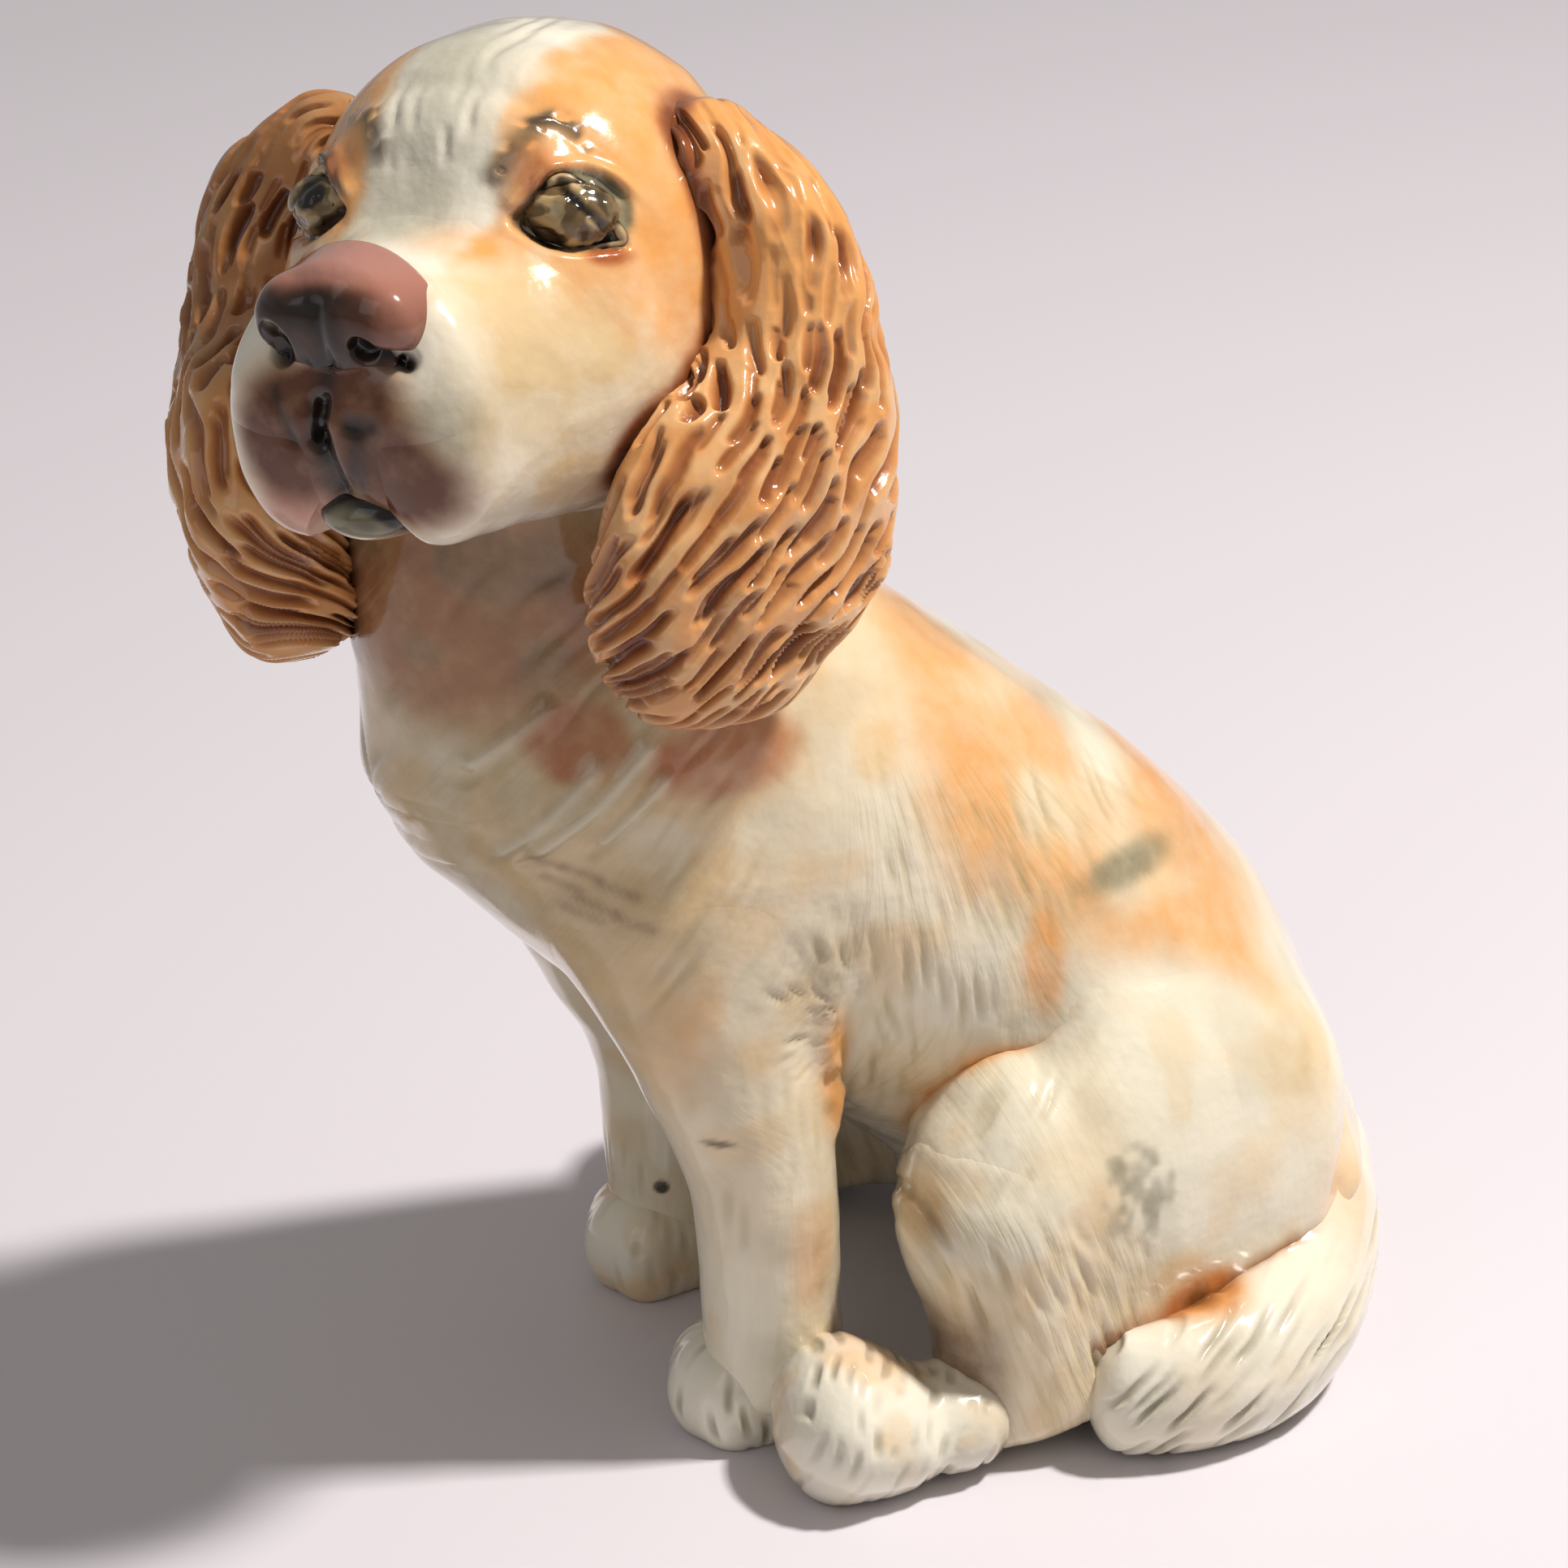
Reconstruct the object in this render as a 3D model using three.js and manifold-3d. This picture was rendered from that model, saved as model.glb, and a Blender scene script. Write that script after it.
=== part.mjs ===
// Seated spaniel in hand-built, glazed stoneware.
// Each mesh is one piece of clay that the sculptor forms by itself: the hollowed body, the neck, the skull,
// the muzzle with its lips, the ears, the legs, the paws and the tail. The pieces are luted together with
// slip, so every piece is cut to seat on its neighbours across one thin slip joint.
// Millimetres. +Z is up, the dog faces -Y and its left side is +X. The origin is on the shelf, under the
// middle of the figure.

import * as THREE from 'three';
import { mergeVertices } from 'three/addons/utils/BufferGeometryUtils.js';
import Module from 'manifold-3d';

const wasm = await Module();
wasm.setup();

// Clay: the slip joint between two pieces, and the hollow that is scooped straight up into the body
const slipJoint = 0.35;
const hollowMiddle = 51;
const hollowHalfWidth = 16;
const hollowHalfDepth = 12;
const hollowHeight = 40;
const hollowRounding = 5;

// Body: an egg that leans forward from the rump up to the shoulders
const bodyHalfWidth = 31;
const bodyHalfDepth = 31.5;
const rump = [0, 46, 20];
const loin = [0, 38, 43];
const ribs = [0, 14, 66];
const chest = [0, -13, 86.5];
const shoulders = [0, -28, 102];
const throat = [0, -34, 118];
const nape = [2, -32, 140];
const neckHalfWidth = 23;
const neckHalfDepth = 25;

// Head: where the middle of the skull stands, and how far it turns, lifts and tilts, in degrees
const skull = [3.5, -36, 158];
const headTurn = 41;
const headLift = 10;
const headTilt = -6.5;
const skullHalfWidth = 26.5;
const skullHalfHeight = 27;
const skullHalfLength = 26;

// Muzzle: how far it reaches from the middle of the skull, and its lips, nose and chin
const muzzleReach = 42;
const muzzleHalfWidth = 15;
const muzzleHalfHeight = 13;
const flewHalfWidth = 9;
const flewHalfHeight = 11.5;
const noseHalfWidth = 11;
const noseHalfHeight = 7.5;
const nostrilRadius = 2.4;
const chinHalfWidth = 8;

// Eyes
const eyeRadius = 4.6;
const eyeSpread = 0.5962 * skullHalfWidth;
const eyeForward = 0.7308 * skullHalfLength;
const eyeHeight = 0.3519 * skullHalfHeight;
const eyeTurn = 24;
const lidHalfWidth = 7.6;
const lidHalfHeight = 6.4;
const lidOpening = 0.45;

// Ears: leaves that hang from the side of the skull, swept in under the jaw at the front
const earRoot = [0.9811 * skullHalfWidth, 1, 0.5556 * skullHalfHeight];
const leftEarDrop = 62;
const rightEarDrop = 58;
const earHalfWidth = 20.5;
const earHalfThickness = 10.5;
const earSweep = 22;
const rightEarFlare = 4.5;

// Gouges of a loop tool in the outer faces of the ears: their size, the rows of them down a leaf, and the
// degrees round it, from its front edge, that a row takes up
const gougeHalfWidth = 2.5;
const gougeDepth = 1.7;
const gougeHalfLength = 6.5;
const gougeRows = 5;
const gougesInRow = 3;
const gougeStart = -75;
const gougeSpread = 115;

// Legs
const legSpread = 22;
const elbowBack = 0.2857 * bodyHalfDepth;
const forearmRadius = 9.5;
const pawHalfWidth = 9;
const pawHalfHeight = 7.5;
const toes = 3;
const rightStep = 3;
const rightShoulderLead = 6;
const haunchSpread = 28;
const haunchMiddle = 34;
const haunchHalfLength = 32;
const haunchHalfHeight = 27;
const haunchHalfThickness = 16;
const hindFootSpread = 38;
const hindFootHalfWidth = 13;
const hindFootHalfHeight = 10.5;
const rightFootTuck = 9;

// Tail
const tailHalfWidth = 8.5;
const tailHalfHeight = 10.5;

const X_AXIS = new THREE.Vector3(1, 0, 0);
const Z_AXIS = new THREE.Vector3(0, 0, 1);
const { degToRad } = THREE.MathUtils;

// Lofts

/** One section of a limb: its middle, its half width and its half depth. */
function section([x, y, z], wide, deep) {
  return { at: new THREE.Vector3(x, y, z), wide, deep };
}

/** A limb at a share t of its spine: the middle, the directions and the half sizes of the section there. */
function station({ sections, side }, t) {
  const spine = new THREE.CatmullRomCurve3(sections.map((s) => s.at));
  const sizes = new THREE.CatmullRomCurve3(sections.map((s) => new THREE.Vector3(s.wide, s.deep, 0)));
  const forward = spine.getTangent(t);
  const across = side.clone().projectOnPlane(forward).normalize();
  const over = new THREE.Vector3().crossVectors(forward, across);
  const { x: wide, y: deep } = sizes.getPoint(t);
  return { middle: spine.getPoint(t), forward, across, over, wide, deep };
}

/**
 * Elliptical sections carried along a smooth spine, with a dome at each end.
 * side is the way that a section's width points, and grow thickens the limb all over.
 */
function loft(limb, grow = 0) {
  const { domes, around = 14, along = 6, domeSteps = 3 } = limb;
  const rows = [];
  for (let i = domeSteps - 1; i > 0; i--) rows.push({ t: 0, rise: -i / domeSteps });
  for (let i = 0; i <= along; i++) rows.push({ t: i / along, rise: 0 });
  for (let i = 1; i < domeSteps; i++) rows.push({ t: 1, rise: i / domeSteps });

  const frame = ({ t, rise }) => {
    const tilt = (rise * Math.PI) / 2;
    const { middle, forward, across, over, wide, deep } = station(limb, t);
    const dome = (rise < 0 ? domes[0] : domes[1]) + grow;
    middle.addScaledVector(forward, dome * Math.sin(tilt));
    across.multiplyScalar((wide + grow) * Math.cos(tilt));
    over.multiplyScalar((deep + grow) * Math.cos(tilt));
    return { middle, across, over };
  };

  const points = [frame({ t: 0, rise: -1 }).middle];
  for (const row of rows) {
    const { middle, across, over } = frame(row);
    for (let j = 0; j < around; j++) {
      const turn = (2 * Math.PI * j) / around;
      const point = middle.clone();
      point.addScaledVector(across, Math.cos(turn));
      point.addScaledVector(over, Math.sin(turn));
      points.push(point);
    }
  }
  points.push(frame({ t: 1, rise: 1 }).middle);

  const index = [];
  const vertex = (row, j) => 1 + row * around + (j % around);
  const lastRow = rows.length - 1;
  for (let j = 0; j < around; j++) {
    index.push(0, vertex(0, j + 1), vertex(0, j));
    for (let i = 0; i < lastRow; i++) {
      index.push(vertex(i, j), vertex(i, j + 1), vertex(i + 1, j + 1));
      index.push(vertex(i, j), vertex(i + 1, j + 1), vertex(i + 1, j));
    }
    index.push(points.length - 1, vertex(lastRow, j), vertex(lastRow, j + 1));
  }
  return new THREE.BufferGeometry().setFromPoints(points).setIndex(index);
}

/** Limbs carried into another frame before their lofts are made, so a mirrored one still faces outward. */
function moved(limbs, matrix) {
  return limbs.map((limb) => ({
    ...limb,
    sections: limb.sections.map((s) => ({ ...s, at: s.at.clone().applyMatrix4(matrix) })),
    side: limb.side.clone().transformDirection(matrix),
  }));
}

const mirror = new THREE.Matrix4().makeScale(-1, 1, 1);
const headFrame = new THREE.Matrix4()
  .makeTranslation(...skull)
  .multiply(new THREE.Matrix4().makeRotationZ(degToRad(headTurn)))
  .multiply(new THREE.Matrix4().makeRotationX(degToRad(-headLift)))
  .multiply(new THREE.Matrix4().makeRotationY(degToRad(headTilt)));

const inHead = (limbs) => moved(limbs, headFrame);
const rightOf = (limbs) => moved(limbs, mirror);

// Solids

function solid(geometry) {
  const vertProperties = new Float32Array(geometry.getAttribute('position').array);
  const triVerts = new Uint32Array(geometry.index.array);
  return new wasm.Manifold(new wasm.Mesh({ numProp: 3, vertProperties, triVerts }));
}

/** Limbs pressed into one lump of clay. */
function clay(limbs, grow = 0) {
  return limbs.map((limb) => solid(loft(limb, grow))).reduce((lump, limb) => lump.add(limb));
}

/** The largest of the bodies that a cut leaves. */
function mainBody(lump) {
  return lump.decompose().reduce((largest, body) => (body.volume() > largest.volume() ? body : largest));
}

/** A lump cut back to seat on its neighbours across the slip joint. */
function seated(limbs, ...neighbours) {
  const cut = neighbours.reduce((lump, neighbour) => lump.subtract(clay(neighbour, slipJoint)), clay(limbs));
  return mainBody(cut);
}

/** A geometry of separate faces, joined at its corners into one solid. */
function joined(geometry) {
  geometry.deleteAttribute('normal');
  geometry.deleteAttribute('uv');
  return solid(mergeVertices(geometry, 1e-3));
}

const shelf = joined(new THREE.BoxGeometry(400, 400, 100).translate(0, 0, -50));

/** A lump pressed flat on the shelf. */
function standing(lump) {
  return mainBody(lump.subtract(shelf));
}

// The body

/** The hollow: a straight pocket with rounded corners and a rounded roof, open below the shelf. */
function scoop() {
  const [w, d, r] = [hollowHalfWidth, hollowHalfDepth, hollowRounding];
  const outline = new THREE.Shape();
  outline.absarc(w - r, d - r, r, 0, 0.5 * Math.PI);
  outline.absarc(r - w, d - r, r, 0.5 * Math.PI, Math.PI);
  outline.absarc(r - w, r - d, r, Math.PI, 1.5 * Math.PI);
  outline.absarc(w - r, r - d, r, 1.5 * Math.PI, 2 * Math.PI);
  const pocket = new THREE.ExtrudeGeometry(outline, {
    depth: hollowHeight,
    curveSegments: 4,
    bevelThickness: 0.8 * r,
    bevelSize: 0.8 * r,
    bevelOffset: -0.8 * r,
    bevelSegments: 3,
  });
  return joined(pocket.translate(0, hollowMiddle, -0.8 * r));
}

const torso = [
  {
    side: X_AXIS,
    domes: [34, 10],
    around: 20,
    along: 9,
    sections: [
      section(rump, 1.06 * bodyHalfWidth, 0.9 * bodyHalfDepth),
      section(loin, 1.03 * bodyHalfWidth, bodyHalfDepth),
      section(ribs, bodyHalfWidth, bodyHalfDepth),
      section(chest, 0.97 * bodyHalfWidth, 1.02 * bodyHalfDepth),
      section(shoulders, 0.85 * bodyHalfWidth, 1.02 * bodyHalfDepth),
    ],
  },
];
const neck = [
  {
    side: X_AXIS,
    domes: [14, 6],
    sections: [
      section([shoulders[0], shoulders[1] - 1, shoulders[2] - 2], 1.15 * neckHalfWidth, 1.2 * neckHalfDepth),
      section(throat, neckHalfWidth, neckHalfDepth),
      section(nape, 0.95 * neckHalfWidth, 0.95 * neckHalfDepth),
    ],
  },
];

// The forelegs, and paws of a few toes pressed side by side

/** The left foreleg, its shoulder this far ahead of its paw's own place. */
function forelegOf(lead) {
  const shoulder = chest[1] - elbowBack - lead;
  const elbow = chest[1] - 0.5556 * elbowBack - 0.6 * lead;
  const sections = [
    section([legSpread - 5, shoulder, 78], 1.35 * forearmRadius, 1.8 * forearmRadius),
    section([legSpread - 2, elbow, 57], 1.15 * forearmRadius, 1.3 * forearmRadius),
    section([legSpread + 1, -14, 37], forearmRadius, forearmRadius),
    section([legSpread, -12.5, 17], 0.95 * forearmRadius, 0.95 * forearmRadius),
    section([legSpread, -12, 8], 0.95 * forearmRadius, 0.95 * forearmRadius),
  ];
  return [{ side: X_AXIS, domes: [8, 4], sections }];
}
const forepawLeft = [];
for (let i = 0; i < toes; i++) {
  const spread = (i - (toes - 1) / 2) / toes;
  const heelSide = legSpread - 1 + 1.2 * spread * pawHalfWidth;
  const tipSide = legSpread - 2 + 1.5 * spread * pawHalfWidth;
  forepawLeft.push({
    side: X_AXIS,
    domes: [6, 6],
    around: 9,
    along: 2,
    sections: [
      section([heelSide, -8, 6], (1.6 * pawHalfWidth) / toes, pawHalfHeight),
      section([tipSide, -20 + 6 * Math.abs(spread), 6], (1.7 * pawHalfWidth) / toes, pawHalfHeight),
    ],
  });
}

// The hind legs, folded: thigh, hock and foot

const haunchLeft = [
  {
    side: X_AXIS,
    domes: [12, 10],
    sections: [
      section(
        [haunchSpread - 4, haunchMiddle + 0.6 * haunchHalfLength, 27],
        0.9 * haunchHalfThickness,
        0.85 * haunchHalfHeight,
      ),
      section([haunchSpread, haunchMiddle, 32], haunchHalfThickness, haunchHalfHeight),
      section(
        [haunchSpread + 4, haunchMiddle - 0.6 * haunchHalfLength, 37],
        0.88 * haunchHalfThickness,
        0.62 * haunchHalfHeight,
      ),
    ],
  },
];
const hockLeft = [
  {
    side: X_AXIS,
    domes: [6, 6],
    sections: [
      section([haunchSpread + 7, 12, 34], 0.7 * haunchHalfThickness, 10),
      section([haunchSpread + 8, 16, 20], 0.7 * haunchHalfThickness, 11.5),
      section([haunchSpread + 8, 20, 8], 0.7 * haunchHalfThickness, 15),
    ],
  },
];
const hindFootLeft = [
  {
    side: X_AXIS,
    domes: [6, 9],
    sections: [
      section([hindFootSpread + 2, 7, 7], 0.6 * hindFootHalfWidth, 0.66 * hindFootHalfHeight),
      section([hindFootSpread + 1, 0, 7], 0.78 * hindFootHalfWidth, 0.8 * hindFootHalfHeight),
      section([hindFootSpread, -9, 9], hindFootHalfWidth, hindFootHalfHeight),
    ],
  },
];

const tail = [
  {
    side: Z_AXIS,
    domes: [6, 5],
    around: 12,
    along: 13,
    sections: [
      section([0, 67, 25], 0.85 * tailHalfHeight, tailHalfWidth),
      section([14, 68, 21], 0.95 * tailHalfHeight, tailHalfWidth),
      section([27, 64, 15], tailHalfHeight, tailHalfWidth),
      section([37, 57, 11], tailHalfHeight, tailHalfWidth),
      section([44, 47, 9.5], tailHalfHeight, tailHalfWidth),
      section([47, 36, 9.5], 0.9 * tailHalfHeight, 0.9 * tailHalfWidth),
      section([46, 27, 9.5], 0.82 * tailHalfHeight, 0.78 * tailHalfWidth),
    ],
  },
];

// The head, in its own frame: the middle of the skull at 0, looking along -Y

const cranium = [
  {
    side: X_AXIS,
    domes: [8, 10],
    around: 20,
    sections: [
      section([0, 0.75 * skullHalfLength, -2], 0.7 * skullHalfWidth, 0.68 * skullHalfHeight),
      section([0, 0.2 * skullHalfLength, 2], skullHalfWidth, skullHalfHeight),
      section([0, -0.25 * skullHalfLength, 1.5], 0.98 * skullHalfWidth, skullHalfHeight),
      section([0, -0.55 * skullHalfLength, 0], 0.86 * skullHalfWidth, 0.88 * skullHalfHeight),
    ],
  },
];
const muzzle = [
  {
    side: X_AXIS,
    domes: [6, 5],
    around: 18,
    sections: [
      section([0, -4, -9], 1.6 * muzzleHalfWidth, 1.35 * muzzleHalfHeight),
      section([0, -0.5 * muzzleReach, -7], 1.4 * muzzleHalfWidth, 1.2 * muzzleHalfHeight),
      section([0, -0.8 * muzzleReach, -6.5], 1.1 * muzzleHalfWidth, muzzleHalfHeight),
      section([0, -0.96 * muzzleReach, -6.5], 0.95 * muzzleHalfWidth, 0.9 * muzzleHalfHeight),
    ],
  },
];
const lipSeam = 0.5 * slipJoint;
const flewLeft = [
  {
    side: X_AXIS,
    domes: [6, 6],
    around: 12,
    sections: [
      section([14, -8, -14], 1.1 * flewHalfWidth, 0.95 * flewHalfHeight),
      section([lipSeam + 1.1 * flewHalfWidth, -26, -15], 1.05 * flewHalfWidth, flewHalfHeight),
      section([lipSeam + 0.92 * flewHalfWidth, 3 - muzzleReach, -15.5], 0.9 * flewHalfWidth, flewHalfHeight),
    ],
  },
];
const nose = [
  {
    side: X_AXIS,
    domes: [3, 4],
    around: 16,
    along: 3,
    sections: [
      section([0, -0.96 * muzzleReach, 0.5], noseHalfWidth, noseHalfHeight),
      section([0, -muzzleReach - 3, 0], 0.92 * noseHalfWidth, 0.88 * noseHalfHeight),
    ],
  },
];
const nostrilDrop = 0.35 * noseHalfHeight;
const nostrilLeft = [
  {
    side: X_AXIS,
    domes: [nostrilRadius, nostrilRadius],
    around: 6,
    along: 1,
    sections: [
      section([0.55 * noseHalfWidth, -muzzleReach - 4, -nostrilDrop], nostrilRadius, 0.8 * nostrilRadius),
      section([0.75 * noseHalfWidth, -muzzleReach - 6, -nostrilDrop - 1], nostrilRadius, 0.8 * nostrilRadius),
    ],
  },
];
const chin = [
  {
    side: X_AXIS,
    domes: [5, 4],
    around: 12,
    along: 4,
    sections: [
      section([0, -8, -22], 1.2 * chinHalfWidth, 6),
      section([0, -0.6 * muzzleReach, -22.5], 0.95 * chinHalfWidth, 5),
      section([0, -0.97 * muzzleReach, -23.5], 0.75 * chinHalfWidth, 3.3),
    ],
  },
];

const eyeMiddle = new THREE.Vector3(eyeSpread, -eyeForward, eyeHeight);
const eyeLook = new THREE.Vector3(Math.sin(degToRad(eyeTurn)), -Math.cos(degToRad(eyeTurn)), 0.2).normalize();

/** An oval lump on the eye's line of sight, from one distance along it to another. */
function onSight(from, to, wide, deep, domes, around) {
  const sections = [from, to].map((way) =>
    section(eyeMiddle.clone().addScaledVector(eyeLook, way).toArray(), wide, deep),
  );
  return [{ side: X_AXIS, domes, around, along: 1, sections }];
}

const eyeLeft = onSight(-0.1, 0.1, eyeRadius, eyeRadius, [eyeRadius, eyeRadius], 12);
const lidLeft = onSight(-1.5, 1.2, lidHalfWidth, lidHalfHeight, [2, 2.6], 14);
const lidGapLeft = onSight(0, 9, lidOpening * lidHalfWidth, lidOpening * lidHalfHeight, [1, 1], 12);

/** The left ear, a leaf that hangs this far below its root. */
function earLeaf(drop) {
  const [x, y, z] = earRoot;
  const leaf = (share, out, back, wide, deep) =>
    section([x + out, y + back, z - share * drop], wide * earHalfWidth, deep * earHalfThickness);
  const sections = [
    leaf(0, -3, 0, 0.28, 0.55),
    leaf(0.18, 5, 1, 0.38, 0.95),
    leaf(0.37, 7.5, 1.5, 0.51, 1),
    leaf(0.55, 7.5, -1.5, 0.77, 1.03),
    leaf(0.71, 5.5, -6, 1, 1),
    leaf(0.855, 2.5, -8, 0.97, 0.95),
    leaf(1, 0, -8, 0.69, 0.8),
  ];
  const side = new THREE.Vector3(Math.sin(degToRad(earSweep)), Math.cos(degToRad(earSweep)), 0);
  return [{ side, domes: [4, 6], around: 16, along: 10, sections }];
}

/** The gouges of an ear: almonds along the leaf on its outer face, each row half a space off the last. */
function gougesOf([ear], outward) {
  const spine = new THREE.CatmullRomCurve3(ear.sections.map((s) => s.at));
  const point = 0.7 * gougeHalfLength;
  const reach = (gougeHalfLength - point) / spine.getLength();
  const onFace = (t, turn) => {
    const { middle, across, over, wide, deep } = station(ear, t);
    middle.addScaledVector(across, Math.sin(turn) * wide);
    return middle.addScaledVector(over, outward * Math.cos(turn) * deep).toArray();
  };
  const gouges = [];
  for (let row = 0; row < gougeRows; row++) {
    const t = (row + 1) / (gougeRows + 0.6);
    for (let i = 0; i < gougesInRow; i++) {
      const turn = degToRad(gougeStart + (gougeSpread * (i + 0.25 + 0.5 * (row % 2))) / gougesInRow);
      gouges.push({
        side: ear.side,
        domes: [point, point],
        around: 6,
        along: 1,
        domeSteps: 1,
        sections: [t - reach, t + reach].map((at) => section(onFace(at, turn), gougeHalfWidth, gougeDepth)),
      });
    }
  }
  return gouges;
}

// The right side, mirrored, with its own step and its own fall of the ear

const stepBack = new THREE.Matrix4().makeTranslation(0, rightStep, 0);
const tuckIn = new THREE.Matrix4().makeTranslation(0, rightFootTuck, 0);
const flareOut = new THREE.Matrix4().makeTranslation(-rightEarFlare, 0, 0);
const legs = {
  left: {
    foreleg: forelegOf(0),
    forepaw: forepawLeft,
    haunch: haunchLeft,
    hock: hockLeft,
    hindFoot: hindFootLeft,
  },
  right: {
    foreleg: moved(rightOf(forelegOf(rightShoulderLead)), stepBack),
    forepaw: moved(rightOf(forepawLeft), stepBack),
    haunch: rightOf(haunchLeft),
    hock: rightOf(hockLeft),
    hindFoot: moved(rightOf(hindFootLeft), tuckIn),
  },
};
const leftFace = { flew: flewLeft, eye: eyeLeft, lid: lidLeft, lidGap: lidGapLeft, nostril: nostrilLeft };
const face = { left: {}, right: {} };
for (const [feature, limbs] of Object.entries(leftFace)) {
  face.left[feature] = inHead(limbs);
  face.right[feature] = inHead(rightOf(limbs));
}
face.left.ear = inHead(earLeaf(leftEarDrop));
face.right.ear = inHead(moved(rightOf(earLeaf(rightEarDrop)), flareOut));

const head = { cranium: inHead(cranium), muzzle: inHead(muzzle), nose: inHead(nose), chin: inHead(chin) };

// The figure

const glaze = {
  cream: 0xeee6d4,
  orange: 0xdc9a58,
  russet: 0xa9683a,
  white: 0xf3eee2,
  pink: 0x94655c,
  dark: 0x2b1d14,
  olive: 0x5c4729,
  green: 0x99937c,
};

const figure = new THREE.Group();

/** One luted piece under its glaze. */
function lute(name, lump, color) {
  const { vertProperties, triVerts } = lump.getMesh();
  const geometry = new THREE.BufferGeometry();
  geometry.setAttribute('position', new THREE.BufferAttribute(vertProperties, 3));
  geometry.setIndex(new THREE.BufferAttribute(triVerts, 1));
  geometry.computeVertexNormals();
  const material = new THREE.MeshStandardMaterial({ color, roughness: 0.15, metalness: 0 });
  const mesh = new THREE.Mesh(geometry, material);
  mesh.name = name;
  figure.add(mesh);
}

lute('torso', standing(clay(torso).subtract(scoop())), glaze.cream);

const { left, right } = face;
const sockets = clay(left.eye, slipJoint).add(clay(right.eye, slipJoint));
lute('cranium', mainBody(clay(head.cranium).subtract(sockets)), glaze.orange);
lute('muzzle', seated(head.muzzle, head.cranium, left.eye, right.eye), glaze.white);
lute('chin', seated(head.chin, head.muzzle, head.cranium, left.flew, right.flew), glaze.green);
const nostrils = clay(left.nostril).add(clay(right.nostril));
const nosePad = seated(head.nose, head.muzzle, left.flew, right.flew);
lute('nose', mainBody(nosePad.subtract(nostrils)), glaze.pink);
const jaw = [head.cranium, head.muzzle, head.chin, left.flew, right.flew];
lute('neck', seated(neck, torso, ...jaw), glaze.cream);

for (const side of ['left', 'right']) {
  const { flew, eye, lid, lidGap, ear } = face[side];
  const outward = side === 'left' ? 1 : -1;
  lute(`flew_${side}`, seated(flew, head.muzzle, head.cranium), glaze.white);
  lute(`eye_${side}`, clay(eye), glaze.dark);
  const lids = seated(lid, head.cranium, head.muzzle, eye);
  lute(`eyelid_${side}`, mainBody(lids.subtract(clay(lidGap))), glaze.olive);
  const leaf = seated(ear, ...jaw, neck, torso);
  lute(`ear_${side}`, mainBody(leaf.subtract(clay(gougesOf(ear, outward)))), glaze.russet);

  const { foreleg, forepaw, haunch, hock, hindFoot } = legs[side];
  lute(`foreleg_${side}`, standing(seated(foreleg, torso, neck)), glaze.cream);
  lute(`forepaw_${side}`, standing(seated(forepaw, foreleg)), glaze.white);
  lute(`haunch_${side}`, standing(seated(haunch, torso, foreleg)), glaze.cream);
  lute(`hock_${side}`, standing(seated(hock, haunch, torso, foreleg)), glaze.cream);
  lute(`hind_foot_${side}`, standing(seated(hindFoot, hock, haunch, foreleg, forepaw)), glaze.white);
}
const { haunch, hock, hindFoot } = legs.left;
lute('tail', standing(seated(tail, torso, haunch, hock, hindFoot)), glaze.white);

const middle = new THREE.Box3().setFromObject(figure).getCenter(new THREE.Vector3());
figure.position.set(-middle.x, -middle.y, 0);

export default figure;
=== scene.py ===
"""Seated spaniel in hand-built, glazed stoneware: its clay, glazes, floor, light and camera.

Lengths are in millimetres until a surface becomes a mesh. The dog faces -Y and its left side is +X, in the
sculptor's frame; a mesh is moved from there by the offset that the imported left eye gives, and put in metres.
"""

import math

import bpy
import numpy as np
from mathutils import Matrix, Vector


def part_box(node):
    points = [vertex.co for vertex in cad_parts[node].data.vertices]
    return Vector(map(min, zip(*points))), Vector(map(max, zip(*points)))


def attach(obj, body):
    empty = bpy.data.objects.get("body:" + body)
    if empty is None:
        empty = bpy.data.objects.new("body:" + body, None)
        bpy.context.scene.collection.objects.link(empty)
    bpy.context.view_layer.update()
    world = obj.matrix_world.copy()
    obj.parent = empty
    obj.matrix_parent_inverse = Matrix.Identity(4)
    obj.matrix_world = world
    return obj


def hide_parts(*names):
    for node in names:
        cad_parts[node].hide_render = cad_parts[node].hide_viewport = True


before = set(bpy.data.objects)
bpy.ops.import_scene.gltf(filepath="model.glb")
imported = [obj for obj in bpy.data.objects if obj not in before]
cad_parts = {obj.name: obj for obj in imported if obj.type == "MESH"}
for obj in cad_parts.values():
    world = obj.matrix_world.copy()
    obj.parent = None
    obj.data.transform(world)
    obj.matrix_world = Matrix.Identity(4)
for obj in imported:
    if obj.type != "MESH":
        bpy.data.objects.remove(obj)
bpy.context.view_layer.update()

MM = 0.001
LEFT = np.array([1.0, 0.0, 0.0])
UP = np.array([0.0, 0.0, 1.0])
SIDES = {"left": 1.0, "right": -1.0}

# Half sizes of the clay pieces, as in the solids: across, then over
BODY_SIZE = (31.0, 31.5)
NECK_SIZE = (23.0, 25.0)
SKULL_SIZE = (26.5, 27.0)
MUZZLE_SIZE = (15.0, 13.0)
FLEW_SIZE = (9.0, 11.5)
NOSE_SIZE = (11.0, 7.5)
EAR_SIZE = (20.5, 10.5)
FOREARM_SIZE = (9.5, 9.5)
THIGH_SIZE = (16.0, 27.0)
SHANK_WIDE = 0.7 * THIGH_SIZE[0]
FOOT_SIZE = (13.0, 10.5)
TAIL_SIZE = (10.5, 8.5)
EYE_RADIUS = 4.6

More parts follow.
